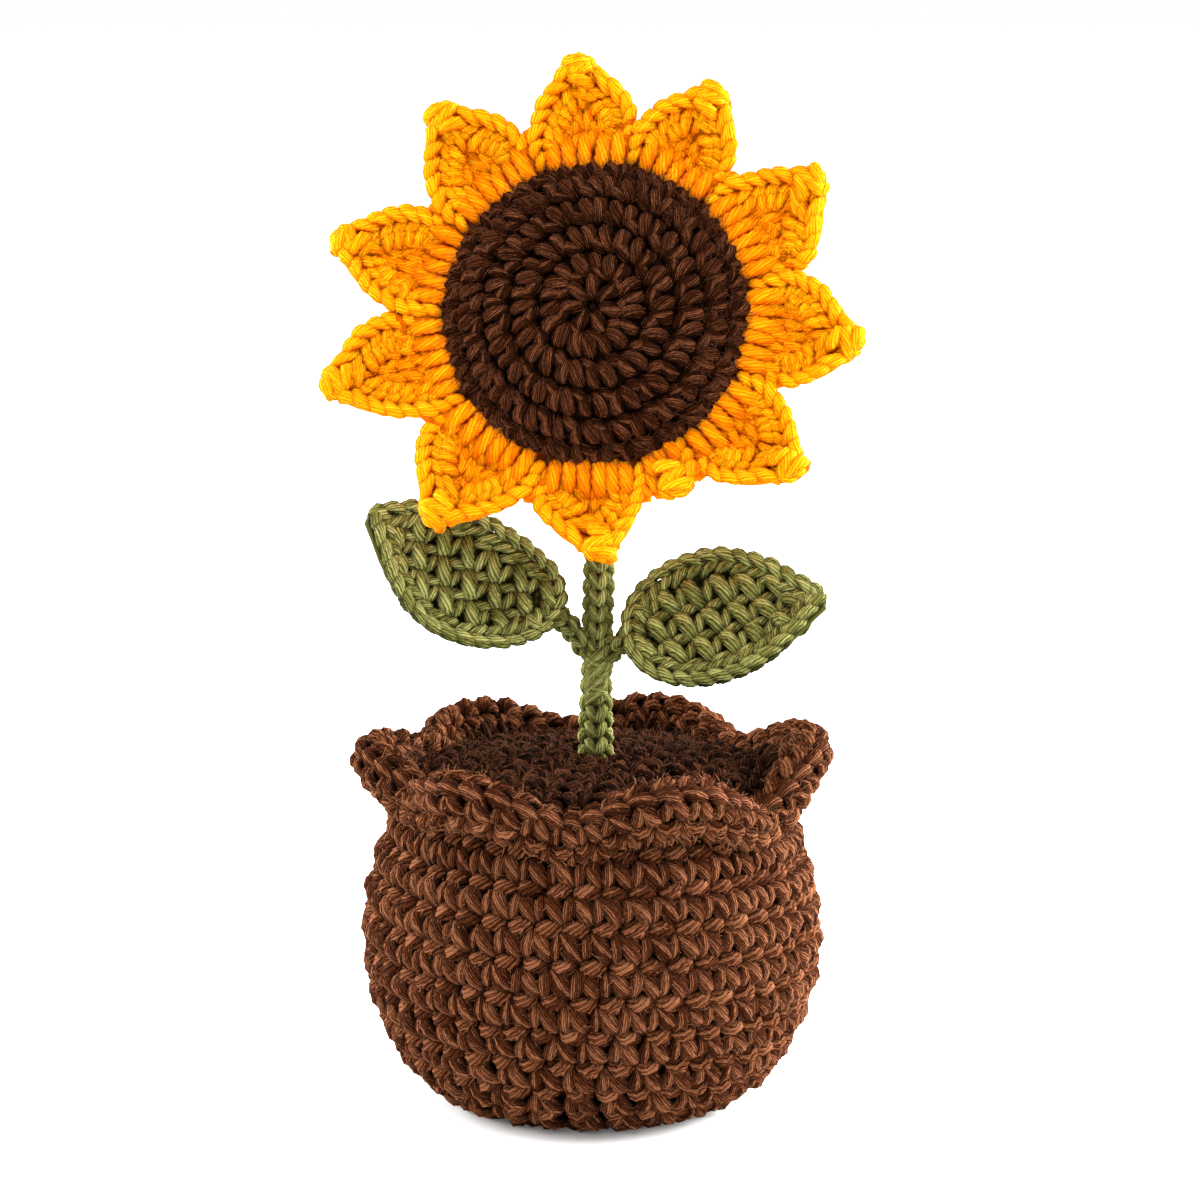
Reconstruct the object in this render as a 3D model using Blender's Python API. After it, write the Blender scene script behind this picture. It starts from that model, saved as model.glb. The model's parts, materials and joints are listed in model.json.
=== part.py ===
# A crocheted sunflower standing in a crocheted pot, in metres with +Z up.
# The origin is the centre of the pot's flat underside, and the flower faces -Y.
# Heights are measured from the underside, angles from +X towards +Y unless a line says otherwise.

import math

import bmesh
import bpy
from mathutils import Matrix, Vector

GAP = 0.0003  # clearance that touching pieces keep

# Pot: a round-bellied cup of single crochet with a drawn-in neck
POT_BASE_RADIUS = 0.0196
POT_OUTLINE = (  # (height, radius) up the outer wall, where the rows are fullest
    (0.0006, 0.0215),
    (0.0020, 0.0239),
    (0.0054, 0.0284),
    (0.0094, 0.0313),
    (0.0144, 0.0338),
    (0.0204, 0.0356),
    (0.0264, 0.0363),
    (0.0324, 0.0360),
    (0.0384, 0.0349),
    (0.0434, 0.0331),
    (0.0485, 0.0312),
)
POT_WALL = 0.0045
WALL_STEPS = 5
FLOOR_CORNER = 0.002  # the bevel inside, between the wall and the floor
POT_ROWS = 9
ROW_GROOVE = 0.0009
ROW_FULL = (0.28, 0.72)  # the stretch of each row, as shares of its height, that stands out fully
POT_SEGMENTS = 40

# Frilled collar on the pot's neck: a rim that waves out and up at each lobe
LOBES = (  # (angle, height of the rim's middle)
    (4, 0.0580),
    (72, 0.0567),
    (124, 0.0567),
    (181, 0.0567),
    (236, 0.0565),
    (291, 0.0565),
)
DIP_HEIGHT = 0.0533
RUFFLE_RIM_RADIUS = (0.0300, 0.0339)  # the rim's middle, in a dip and at a lobe
RUFFLE_RIM_THICKNESS = (0.0044, 0.0056)
LOBE_FULLNESS = 0.7  # below 1 broadens the lobes and narrows the dips
RUFFLE_STATIONS = 60
RIM_TURNS = (-55, -10, 35, 80, 125, 170)  # degrees round the rim's thickness, from its outer underside
RUFFLE_WAIST = (0.25, 0.5)  # how far the waist is, out and up, from the foot to the rim's underside

# Filling and the dark disc of "soil" on top of it
SOIL_RADIUS = 0.0266
SOIL_EDGE_TOP = 0.0546
SOIL_CROWN = 0.0566
SOIL_THICKNESS = 0.0034
SOIL_ROUNDS = 5
SOIL_GROOVE = 0.0006
SOIL_EDGE_DROP = 0.0008
SOIL_SEGMENTS = 34
STUFFING_SEGMENTS = 28
STUFFING_TOP = SOIL_EDGE_TOP - SOIL_THICKNESS - GAP
STEM_SOCKET_DEPTH = 0.009

# Stem
STEM_FOOT_X = 0.0006
STEM_HEAD_X = 0.0020
STEM_FOOT_RADIUS = 0.0029
STEM_TOP_RADIUS = 0.0025
STEM_STITCH = 0.0046
STEM_RIDGE = 0.00025
STEM_WRAP_BOTTOM = 0.0670
STEM_WRAP_TOP = 0.0730
STEM_WRAP_BULGE = 0.0007
STEM_SIDES = 10
STEM_TUCK = 0.0004  # how much its buried end narrows
STEM_OVERRUN = 0.012  # past the head's centre, before it is cut off
CUTTER_STEPS = 16

# Flower head: its own frame has the disc's rim plane at Z = 0 and +Z towards the viewer
HEAD_CENTRE = Vector((0.0008, -0.0030, 0.1278))
HEAD_UP_TILT = math.radians(18)
HEAD_LEFT_TURN = math.radians(5)
DISC_RADIUS = 0.0238
DISC_HEIGHT = 0.0105
DISC_ROUNDS = 5
DISC_GROOVE = 0.0006
DISC_EDGE = 0.0016  # height of the rounded edge that the dome springs from
DISC_UNDERCUT = 0.0010
DISC_ROUNDNESS = 2.4
HEAD_SEGMENTS = 38
BACK_HUB_RADIUS = 0.0203
BACK_RADIUS = 0.0225
BACK_FLANGE = 0.0026
BACK_BEVEL = 0.0008

# Petals: each fills the wedge between two notches and narrows to a knob at its tip
NOTCHES = (  # (angle, radius) in the head's frame, anticlockwise from the top petal's right
    (78.3, 0.0328),
    (111.9, 0.0316),
    (147.3, 0.0318),
    (179.9, 0.0338),
    (213.1, 0.0323),
    (251.5, 0.0318),
    (287.3, 0.0308),
    (303.5, 0.0318),
    (337.3, 0.0326),
    (371.3, 0.0344),
    (405.9, 0.0314),
)
PETAL_TIPS = (  # (angle, radius, forward reach, radius of the knob)
    (95.4, 0.0424, 0.0020, 0.0034),
    (128.8, 0.0428, 0.0030, 0.0034),
    (164.3, 0.0442, 0.0020, 0.0034),
    (196.0, 0.0452, 0.0030, 0.0034),
    (233.4, 0.0430, 0.0040, 0.0034),
    (272.9, 0.0402, 0.0035, 0.0034),
    (296.1, 0.0336, 0.0060, 0.0040),
    (322.3, 0.0422, 0.0035, 0.0034),
    (354.2, 0.0430, 0.0020, 0.0034),
    (392.0, 0.0426, 0.0030, 0.0034),
    (423.0, 0.0416, 0.0035, 0.0034),
)
PETAL_ROOT_RADIUS = BACK_HUB_RADIUS + GAP
PETAL_ROOT_DEPTH = 0.0031
PETAL_MIDDLE = 0.0024
PETAL_BORDER = 0.0036
PETAL_RIM_RISE = 0.0030
PETAL_TAPER = 1.5  # above 1 keeps a petal full past its notches
PETAL_SIDE_GAP = 0.6 * GAP  # half of what neighbouring petals keep, and a little over
PETAL_FREE = 0.005  # past the disc's edge, where a petal's rim reaches its full rise
PETAL_TIP_RISE = 0.0010
PETAL_LENGTH_BUILT = 0.985
PETAL_STATIONS = 10
PETAL_COLUMNS = 6

# Leaves: each has its own frame, X from the stalk to the tip and Z out of the cup
LEAF_THICKNESS = 0.0024
LEAF_RIM = 0.0036
LEAF_EDGE_INSET = 0.0006
LEAF_KNOB = 0.0022
LEAF_TIP_START = 0.93
LEAF_BASE_ROUNDNESS = 2.3
LEAF_TIP_ROUNDNESS = 2.0
LEAF_ENDS = (0.012, 0.985)  # shares of the length where the solid starts and stops
LEAF_STATIONS = 12
LEAF_COLUMNS = 6
LEAVES = {
    "left": {
        "base": Vector((-0.0052, -0.0010, 0.0795)),
        "tip": Vector((-0.0352, -0.0060, 0.0976)),
        "face_tilt": math.radians(30),
        "width": 0.0214,
        "bow": 0.0022,
        "fullest": 0.50,
        "cup": 0.0040,
        "fork": 0.0712,
    },
    "right": {
        "base": Vector((0.0050, -0.0026, 0.0757)),
        "tip": Vector((0.0373, -0.0065, 0.0840)),
        "face_tilt": math.radians(34),
        "width": 0.0228,
        "bow": 0.0006,
        "fullest": 0.44,
        "cup": 0.0038,
        "fork": 0.0700,
    },
}
STALK_RADIUS = 0.0018
STALK_SIDES = 8
STALK_STEPS = 6
STALK_BEND = 0.0025  # how far before the leaf the stalk comes into line with it

# Yarn colours: (red, green, blue) and roughness
YARNS = {
    "pot yarn": ((0.150, 0.062, 0.034), 0.92),
    "soil yarn": ((0.040, 0.017, 0.010), 0.95),
    "disc yarn": ((0.075, 0.029, 0.018), 0.92),
    "petal yarn": ((0.900, 0.430, 0.012), 0.85),
    "leaf yarn": ((0.215, 0.225, 0.075), 0.90),
    "stuffing": ((0.800, 0.790, 0.760), 0.95),
}


def clear_scene():
    for old in list(bpy.data.objects):
        bpy.data.objects.remove(old, do_unlink=True)


def yarn(name):
    colour, roughness = YARNS[name]
    material = bpy.data.materials.new(name)
    material.use_nodes = True
    shader = material.node_tree.nodes["Principled BSDF"]
    shader.inputs["Base Color"].default_value = (*colour, 1.0)
    shader.inputs["Roughness"].default_value = roughness
    material.diffuse_color = (*colour, 1.0)
    return material


def add_object(name, mesh_builder, material, parent=None):
    """One object from a bmesh, smooth shaded and facing out."""
    bmesh.ops.recalc_face_normals(mesh_builder, faces=mesh_builder.faces)
    mesh = bpy.data.meshes.new(name)
    mesh_builder.to_mesh(mesh)
    mesh_builder.free()
    if material:
        mesh.materials.append(material)
    mesh.shade_smooth()
    mesh.set_sharp_from_angle(angle=math.radians(50))
    piece = bpy.data.objects.new(name, mesh)
    bpy.context.scene.collection.objects.link(piece)
    piece.parent = parent
    return piece


def turned(profile, segments, closed=False):
    """A bmesh spun about Z from (radius, height) points; a closed profile makes a ring."""
    builder = bmesh.new()
    verts = [builder.verts.new((radius, 0.0, height)) for radius, height in profile]
    pairs = list(zip(verts, verts[1:]))
    if closed:
        pairs.append((verts[-1], verts[0]))
    edges = [builder.edges.new(pair) for pair in pairs]
    bmesh.ops.spin(
        builder,
        geom=verts + edges,
        cent=(0, 0, 0),
        axis=(0, 0, 1),
        angle=math.tau,
        steps=segments,
        use_merge=True,
        use_duplicate=False,
    )
    bmesh.ops.remove_doubles(builder, verts=builder.verts, dist=1e-6)
    return builder


def skinned(rings, closed=False):
    """A bmesh through equal rings of points, capped at both ends or closed on itself."""
    builder = bmesh.new()
    rows = [[builder.verts.new(point) for point in ring] for ring in rings]
    pairs = list(zip(rows, rows[1:]))
    if closed:
        pairs.append((rows[-1], rows[0]))
    else:
        builder.faces.new(rows[0])
        builder.faces.new(rows[-1])
    for near, far in pairs:
        for k in range(len(near)):
            after = (k + 1) % len(near)
            builder.faces.new((near[k], near[after], far[after], far[k]))
    return builder


def centre_hole_on_stem(builder, hole, rim):
    """Moves the hole's wall over to the stem's axis, and what lies between it and the rim in proportion."""
    for vert in builder.verts:
        radius = vert.co.to_2d().length
        vert.co.x += STEM_FOOT_X * min(1.0, max(0.0, (rim - radius) / (rim - hole)))


def smoothstep(low, high, value):
    share = min(max((value - low) / (high - low), 0.0), 1.0)
    return share * share * (3 - 2 * share)


def mix(first, second, share):
    return first + (second - first) * share


def pot_radius(height):
    """Outer radius of the pot, read along its outline."""
    for (low, radius_low), (high, radius_high) in zip(POT_OUTLINE, POT_OUTLINE[1:]):
        if height <= high:
            return mix(radius_low, radius_high, (height - low) / (high - low))
    return POT_OUTLINE[-1][1]


def make_pot(material):
    """The cup: flat underside, a groove between rows, and a plain inner wall."""
    bottom, neck = POT_OUTLINE[0][0], POT_OUTLINE[-1][0]
    row = (neck - bottom) / POT_ROWS
    outer = [(0.0, 0.0), (POT_BASE_RADIUS, 0.0)]
    for k in range(POT_ROWS):
        low = bottom + k * row
        outer.append((pot_radius(low) - ROW_GROOVE * (k > 0), low))
        for share in ROW_FULL:
            outer.append((pot_radius(low + row * share), low + row * share))
    outer.append((pot_radius(neck) - ROW_GROOVE, neck))
    inner = []
    for k in range(WALL_STEPS + 1):
        height = mix(neck, POT_WALL + FLOOR_CORNER, k / WALL_STEPS)
        inner.append((pot_radius(height) - POT_WALL, height))
    inner.append((inner[-1][0] - FLOOR_CORNER, POT_WALL))
    inner.append((0.0, POT_WALL))
    return add_object("pot", turned(outer + inner, POT_SEGMENTS), material)


def make_stuffing(material):
    """The filling follows the pot's inside and has a blind hole for the stem."""
    neck = POT_OUTLINE[-1][0]
    socket = STEM_FOOT_RADIUS + GAP
    floor = POT_WALL + GAP
    corner = floor + FLOOR_CORNER
    wall = [(0.0, floor), (pot_radius(corner) - POT_WALL - FLOOR_CORNER - GAP, floor)]
    for k in range(WALL_STEPS + 1):
        height = mix(corner, neck, k / WALL_STEPS)
        wall.append((pot_radius(height) - POT_WALL - 2 * GAP, height))
    wall.append((SOIL_RADIUS - GAP, STUFFING_TOP))
    wall.append((socket, STUFFING_TOP))
    wall.append((socket, STUFFING_TOP - STEM_SOCKET_DEPTH))
    wall.append((0.0, STUFFING_TOP - STEM_SOCKET_DEPTH))
    builder = turned(wall, STUFFING_SEGMENTS)
    centre_hole_on_stem(builder, socket, SOIL_RADIUS - GAP)
    return add_object("pot_stuffing", builder, material)


def make_soil(material):
    """A low dome of crocheted rounds with a hole that the stem passes through."""
    hole = STEM_FOOT_RADIUS + GAP
    width = SOIL_RADIUS - hole
    top = []
    for k in range(SOIL_ROUNDS):
        for share, groove in ((0.0, SOIL_GROOVE), (0.5, 0.0)):
            radius = hole + width * (k + share) / SOIL_ROUNDS
            height = mix(SOIL_CROWN, SOIL_EDGE_TOP, (radius / SOIL_RADIUS) ** 2) - groove
            top.append((radius, height))
    top.append((SOIL_RADIUS, SOIL_EDGE_TOP - SOIL_EDGE_DROP))
    bottom = SOIL_EDGE_TOP - SOIL_THICKNESS
    profile = top + [(SOIL_RADIUS, bottom), (hole, bottom)]
    builder = turned(profile, SOIL_SEGMENTS, closed=True)
    centre_hole_on_stem(builder, hole, SOIL_RADIUS)
    return add_object("soil", builder, material)


def lobe_at(angle):
    """How far a place on the rim is into its lobe, 0 in a dip and 1 at the middle, and the lobe's height."""
    degrees = math.degrees(angle) % 360
    lobes = [*LOBES, (LOBES[0][0] + 360, LOBES[0][1])]
    if degrees < lobes[0][0]:
        degrees += 360
    for (first, first_height), (after, after_height) in zip(lobes, lobes[1:]):
        if degrees <= after:
            way = (degrees - first) / (after - first)
            share = ((1 + math.cos(math.tau * way)) / 2) ** LOBE_FULLNESS
            return share, first_height if way < 0.5 else after_height


def make_ruffle(material):
    """A collar that starts as a ring on the neck and ends in a waved, rounded rim."""
    foot = POT_OUTLINE[-1][0] + GAP
    foot_outer = POT_OUTLINE[-1][1]
    foot_inner = SOIL_RADIUS + GAP
    rings = []
    for k in range(RUFFLE_STATIONS):
        angle = math.tau * k / RUFFLE_STATIONS
        share, height = lobe_at(angle)
        middle = Vector((mix(*RUFFLE_RIM_RADIUS, share), mix(DIP_HEIGHT, height, share)))
        half = mix(*RUFFLE_RIM_THICKNESS, share) / 2
        rim = []
        for turn in map(math.radians, RIM_TURNS):
            rim.append(middle + Vector((math.cos(turn), math.sin(turn))) * half)
        waist = Vector((
            mix(foot_outer, rim[0].x, RUFFLE_WAIST[0]),
            mix(foot, rim[0].y, RUFFLE_WAIST[1]),
        ))
        seat = Vector((foot_inner + GAP, SOIL_EDGE_TOP - 2 * GAP))
        section = [Vector((foot_inner, foot)), Vector((foot_outer, foot)), waist, *rim, seat]
        ring = [Vector((p.x * math.cos(angle), p.x * math.sin(angle), p.y)) for p in section]
        rings.append(ring)
    return add_object("pot_ruffle", skinned(rings, closed=True), material)


def head_matrix():
    """The head's frame: Z along its axis, Y up its face."""
    outwards = Vector((-math.sin(HEAD_LEFT_TURN), -math.cos(HEAD_LEFT_TURN), 0.0))
    axis = outwards * math.cos(HEAD_UP_TILT) + Vector((0, 0, 1)) * math.sin(HEAD_UP_TILT)
    right = Vector((math.cos(HEAD_LEFT_TURN), -math.sin(HEAD_LEFT_TURN), 0.0))
    up = axis.cross(right)
    turn = Matrix((right, up, axis)).transposed().to_4x4()
    return Matrix.Translation(HEAD_CENTRE) @ turn


def stem_x(height):
    """The stem leans a little, above the soil, on its way to the head."""
    return STEM_FOOT_X + (STEM_HEAD_X - STEM_FOOT_X) * smoothstep(SOIL_CROWN, HEAD_CENTRE.z, height)


def lean_with_stem(builder):
    for vert in builder.verts:
        vert.co.x += stem_x(vert.co.z)


def stem_radius(height):
    """Taper, the stitches' ridges, and the fuller wrap below the leaf stalks."""
    foot, top = STUFFING_TOP - STEM_SOCKET_DEPTH, HEAD_CENTRE.z
    radius = mix(STEM_FOOT_RADIUS, STEM_TOP_RADIUS, smoothstep(SOIL_CROWN, STEM_WRAP_TOP, height))
    if height < SOIL_CROWN:
        return mix(STEM_FOOT_RADIUS - STEM_TUCK, radius, smoothstep(foot, SOIL_CROWN, height))
    ridge = STEM_RIDGE * math.cos(math.tau * (height - top) / STEM_STITCH)
    middle = (STEM_WRAP_BOTTOM + STEM_WRAP_TOP) / 2
    half = (STEM_WRAP_TOP - STEM_WRAP_BOTTOM) / 2
    wrap = max(0.0, 1 - ((height - middle) / half) ** 2)
    return radius - STEM_RIDGE + ridge + STEM_WRAP_BULGE * wrap


def make_stem(material, head):
    """A ridged cord cut off where it lies against the back of the head."""
    foot = STUFFING_TOP - STEM_SOCKET_DEPTH + GAP
    reach = HEAD_CENTRE.z + STEM_OVERRUN
    rings = round((reach - foot) / (STEM_STITCH / 3))
    heights = [mix(foot, reach, k / rings) for k in range(rings + 1)]
    profile = [(0.0, foot)] + [(stem_radius(h), h) for h in heights] + [(0.0, reach)]
    builder = turned(profile, STEM_SIDES)
    lean_with_stem(builder)
    axis = head.col[2].to_3d()
    back = HEAD_CENTRE - axis * (PETAL_ROOT_DEPTH + 3 * GAP + BACK_FLANGE)
    cut = bmesh.ops.bisect_plane(
        builder,
        geom=builder.verts[:] + builder.edges[:] + builder.faces[:],
        dist=1e-7,
        plane_co=back,
        plane_no=axis,
        clear_outer=True,
    )
    rim = [item for item in cut["geom_cut"] if isinstance(item, bmesh.types.BMEdge)]
    bmesh.ops.holes_fill(builder, edges=rim, sides=0)
    bmesh.ops.triangulate(builder, faces=builder.faces)
    return add_object("stem", builder, material)


def leaf_matrix(leaf):
    """The leaf's frame: X to the tip, Y across the blade, Z out of its cup."""
    along = (leaf["tip"] - leaf["base"]).normalized()
    facing = Vector((0.0, -math.cos(leaf["face_tilt"]), math.sin(leaf["face_tilt"])))
    out = (facing - along * facing.dot(along)).normalized()
    across = out.cross(along)
    turn = Matrix((along, across, out)).transposed().to_4x4()
    return Matrix.Translation(leaf["base"]) @ turn


def leaf_half_width(leaf, share):
    """Half the blade's width: a rounded base, its fullest place, then a blunt point."""
    full, half = leaf["fullest"], leaf["width"] / 2
    if share < full:
        return half * math.sqrt(max(0.0, 1 - ((full - share) / full) ** LEAF_BASE_ROUNDNESS))
    blade = half * (1 - ((share - full) / (1 - full)) ** LEAF_TIP_ROUNDNESS)
    if share < LEAF_TIP_START:
        return blade
    past = (share - LEAF_TIP_START) / (1 - LEAF_TIP_START)
    return max(blade, LEAF_KNOB * math.sqrt(max(0.0, 1 - past**2)))


def make_leaf(side, leaf, material):
    """A cupped blade, thicker along its turned-up rim."""
    length = (leaf["tip"] - leaf["base"]).length
    rings = []
    for k in range(LEAF_STATIONS + 1):
        share = mix(*LEAF_ENDS, k / LEAF_STATIONS)
        half = leaf_half_width(leaf, share)
        bow = leaf["bow"] * math.sin(math.pi * share)
        cup = leaf["cup"] * smoothstep(0.0, 0.35, share) * (1 - 0.5 * smoothstep(0.7, 1, share))
        top, under = [], []
        for j in range(LEAF_COLUMNS + 1):
            t = mix(-1.0, 1.0, j / LEAF_COLUMNS)
            rim = abs(t) ** 3
            height = cup * (t * t - 1)
            thick = mix(LEAF_THICKNESS, LEAF_RIM, rim)
            across = t * (half - LEAF_EDGE_INSET * rim)
            top.append(Vector((share * length, bow + across, height + thick / 2)))
            under.append(Vector((share * length, bow + t * half, height - thick / 2)))
        rings.append(top + under[::-1])
    piece = add_object(f"leaf_{side}", skinned(rings), material)
    piece.matrix_world = leaf_matrix(leaf)
    return piece


def make_stem_cutter():
    """The stem's stretch at the fork, grown by the gap, which the stalks are cut to fit."""
    low, high = STEM_WRAP_BOTTOM - STEM_STITCH, STEM_WRAP_TOP + 3 * STEM_STITCH
    heights = [mix(low, high, k / CUTTER_STEPS) for k in range(CUTTER_STEPS + 1)]
    profile = [(0.0, low)] + [(stem_radius(h) + GAP, h) for h in heights] + [(0.0, high)]
    builder = turned(profile, STEM_SIDES)
    lean_with_stem(builder)
    cutter = add_object("stem_cutter", builder, None)
    cutter.hide_render = True
    cutter.display_type = "WIRE"
    return cutter


def make_stalk(side, leaf, material, cutter):
    """A short cord from the stem's fork that turns into line with the leaf at its base."""
    along = (leaf["tip"] - leaf["base"]).normalized()
    start = Vector((stem_x(leaf["fork"]), 0.0, leaf["fork"]))
    end = leaf["base"] - along * GAP
    bend = leaf["base"] - along * STALK_BEND
    rings = []
    for k in range(STALK_STEPS + 1):
        share = k / STALK_STEPS
        centre = start.lerp(bend, share).lerp(bend.lerp(end, share), share)
        heading = (bend - start).lerp(end - bend, share).normalized()
        side_axis = heading.cross(Vector((0, 1, 0))).normalized()
        other_axis = heading.cross(side_axis)
        ring = []
        for j in range(STALK_SIDES):
            turn = math.tau * j / STALK_SIDES
            spoke = side_axis * math.cos(turn) + other_axis * math.sin(turn)
            ring.append(centre + spoke * STALK_RADIUS)
        rings.append(ring)
    piece = add_object(f"leaf_stalk_{side}", skinned(rings), material)
    fit = piece.modifiers.new("fit to the stem", "BOOLEAN")
    fit.operation = "DIFFERENCE"
    fit.object = cutter
    return piece


def make_disc(material, head):
    """The seed disc: a dome of crocheted rounds, flat behind."""
    profile = [(0.0, GAP / 2), (DISC_RADIUS - DISC_UNDERCUT, GAP / 2), (DISC_RADIUS, DISC_EDGE)]
    steps = DISC_ROUNDS * 3
    for k in range(1, steps):
        radius = DISC_RADIUS * (1 - k / steps)
        groove = DISC_GROOVE if k % 3 == 0 else 0.0
        dome = math.sqrt(1 - (radius / DISC_RADIUS) ** DISC_ROUNDNESS)
        profile.append((radius, mix(DISC_EDGE, DISC_HEIGHT, dome) - groove))
    profile.append((0.0, DISC_HEIGHT))
    return add_object("flower_disc", turned(profile, HEAD_SEGMENTS), material, head)


def make_back(material, head):
    """The backing: a hub inside the ring of petals and a flange behind it."""
    hub_bottom = -(PETAL_ROOT_DEPTH + 2 * GAP)
    bottom = hub_bottom - BACK_FLANGE
    profile = [
        (0.0, -GAP / 2),
        (BACK_HUB_RADIUS, -GAP / 2),
        (BACK_HUB_RADIUS, hub_bottom),
        (BACK_RADIUS, hub_bottom),
        (BACK_RADIUS, bottom + BACK_BEVEL),
        (BACK_RADIUS - BACK_BEVEL, bottom),
        (0.0, bottom),
    ]
    return add_object("flower_back", turned(profile, HEAD_SEGMENTS), material, head)


def petal_section(index, share):
    """Centre angle, radius and the two half-widths of a petal at a share of its length."""
    right_angle, right_radius = NOTCHES[index]
    left_angle, left_radius = NOTCHES[(index + 1) % len(NOTCHES)]
    if left_angle < right_angle:
        left_angle += 360
    tip_angle, tip_radius, _, knob = PETAL_TIPS[index]
    angle = math.radians(mix((left_angle + right_angle) / 2, tip_angle, share))
    radius = mix(PETAL_ROOT_RADIUS, tip_radius, share)
    knob_centre = tip_radius - knob
    halves = []
    for notch_angle, notch_radius in ((right_angle, right_radius), (left_angle, left_radius)):
        spread = math.tan(abs(math.radians(notch_angle) - angle))
        wedge = min(radius, notch_radius) * spread - PETAL_SIDE_GAP
        taper = min(max((radius - notch_radius) / (knob_centre - notch_radius), 0.0), 1.0)
        width = mix(wedge, knob * 0.95, taper**PETAL_TAPER)
        if radius > knob_centre:
            width = knob * math.sqrt(max(0.02, 1 - ((radius - knob_centre) / knob) ** 2))
        halves.append(min(width, radius * spread - PETAL_SIDE_GAP))
    return angle, radius, halves[0], halves[1]


def make_petal(index, material, head):
    """A petal from under the disc's edge to its knob, with its border raised."""
    reach = PETAL_TIPS[index][2]
    rings = []
    for k in range(PETAL_STATIONS + 1):
        share = PETAL_LENGTH_BUILT * k / PETAL_STATIONS
        angle, radius, right, left = petal_section(index, share)
        outward = Vector((math.cos(angle), math.sin(angle), 0.0))
        sideways = Vector((-math.sin(angle), math.cos(angle), 0.0))
        free = smoothstep(DISC_RADIUS, DISC_RADIUS + PETAL_FREE, radius)
        tip = smoothstep(0.75, 1.0, share)
        level = -GAP / 2 + reach * smoothstep(0.35, 1.0, share) ** 1.5
        rise = PETAL_RIM_RISE * free * (1 - tip)
        top, under = [], []
        for j in range(PETAL_COLUMNS + 1):
            t = mix(-1.0, 1.0, j / PETAL_COLUMNS)
            across = t * (left if t > 0 else right)
            edge = t * t
            height = level + rise * edge + PETAL_TIP_RISE * tip * (1 - edge)
            middle = mix(PETAL_ROOT_DEPTH, PETAL_MIDDLE, free)
            border = mix(PETAL_ROOT_DEPTH, PETAL_BORDER, free)
            thick = mix(middle, border, max(edge * edge, tip))
            spot = outward * radius + sideways * across
            top.append(spot + Vector((0, 0, height)))
            under.append(spot + Vector((0, 0, height - thick)))
        rings.append(top + under[::-1])
    return add_object(f"petal_{index + 1:02d}", skinned(rings), material, head)


def main():
    clear_scene()
    yarns = {name: yarn(name) for name in YARNS}
    make_pot(yarns["pot yarn"])
    make_ruffle(yarns["pot yarn"])
    make_stuffing(yarns["stuffing"])
    make_soil(yarns["soil yarn"])
    head = bpy.data.objects.new("head_frame", None)
    bpy.context.scene.collection.objects.link(head)
    head.matrix_world = head_matrix()
    make_stem(yarns["leaf yarn"], head_matrix())
    cutter = make_stem_cutter()
    for side, leaf in LEAVES.items():
        make_stalk(side, leaf, yarns["leaf yarn"], cutter)
        make_leaf(side, leaf, yarns["leaf yarn"])
    make_disc(yarns["disc yarn"], head)
    make_back(yarns["disc yarn"], head)
    for index in range(len(PETAL_TIPS)):
        make_petal(index, yarns["petal yarn"], head)


main()
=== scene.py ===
# A crocheted sunflower in a crocheted pot. Every stitch is a strand of plied yarn, bent into place
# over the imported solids. Sizes in the dictionaries are millimetres and degrees.

import json
import math
import random
from functools import partial

import bmesh
import bpy
import numpy as np
from mathutils import Matrix, Vector

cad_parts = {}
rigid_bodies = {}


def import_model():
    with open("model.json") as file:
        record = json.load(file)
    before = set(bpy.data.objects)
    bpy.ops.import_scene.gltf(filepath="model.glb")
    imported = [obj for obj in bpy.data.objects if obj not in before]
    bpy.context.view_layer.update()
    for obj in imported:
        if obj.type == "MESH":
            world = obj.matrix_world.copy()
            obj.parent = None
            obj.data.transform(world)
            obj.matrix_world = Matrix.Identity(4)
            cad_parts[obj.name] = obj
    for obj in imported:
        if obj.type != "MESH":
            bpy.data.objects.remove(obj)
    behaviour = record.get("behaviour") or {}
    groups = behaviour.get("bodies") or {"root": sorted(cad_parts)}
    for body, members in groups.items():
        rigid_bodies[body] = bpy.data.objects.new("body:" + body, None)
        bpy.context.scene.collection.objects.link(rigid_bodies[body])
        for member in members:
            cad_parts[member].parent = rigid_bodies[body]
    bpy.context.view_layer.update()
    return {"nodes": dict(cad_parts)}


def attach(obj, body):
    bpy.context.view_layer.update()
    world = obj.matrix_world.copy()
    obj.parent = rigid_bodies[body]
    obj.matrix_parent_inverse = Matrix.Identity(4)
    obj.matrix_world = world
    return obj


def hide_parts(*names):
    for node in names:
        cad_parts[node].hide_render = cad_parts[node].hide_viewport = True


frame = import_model()
print("frame loaded:", len(frame["nodes"]), "nodes")

mm = 0.001
chance = random.Random(11)


# small sums

def mix(first, second, share):
    return first + (second - first) * share


def ease(low, high, value):
    share = min(max((value - low) / (high - low), 0.0), 1.0)
    return share * share * (3 - 2 * share)


def jitter(amount):
    return chance.uniform(-amount, amount)


def anyWay(amount):
    return Vector((jitter(amount), jitter(amount), jitter(amount)))


def uneven(radius, share=0.08):
    return radius * (1 + jitter(share))


def polar(degrees, radius, height):
    way = math.radians(degrees)
    return Vector((radius * math.cos(way), radius * math.sin(way), height))


def added(name, data):
    piece = bpy.data.objects.new(name, data)
    bpy.context.scene.collection.objects.link(piece)
    return piece


# yarn: a straight rod with a ridge for each ply, bent along every strand

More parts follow.
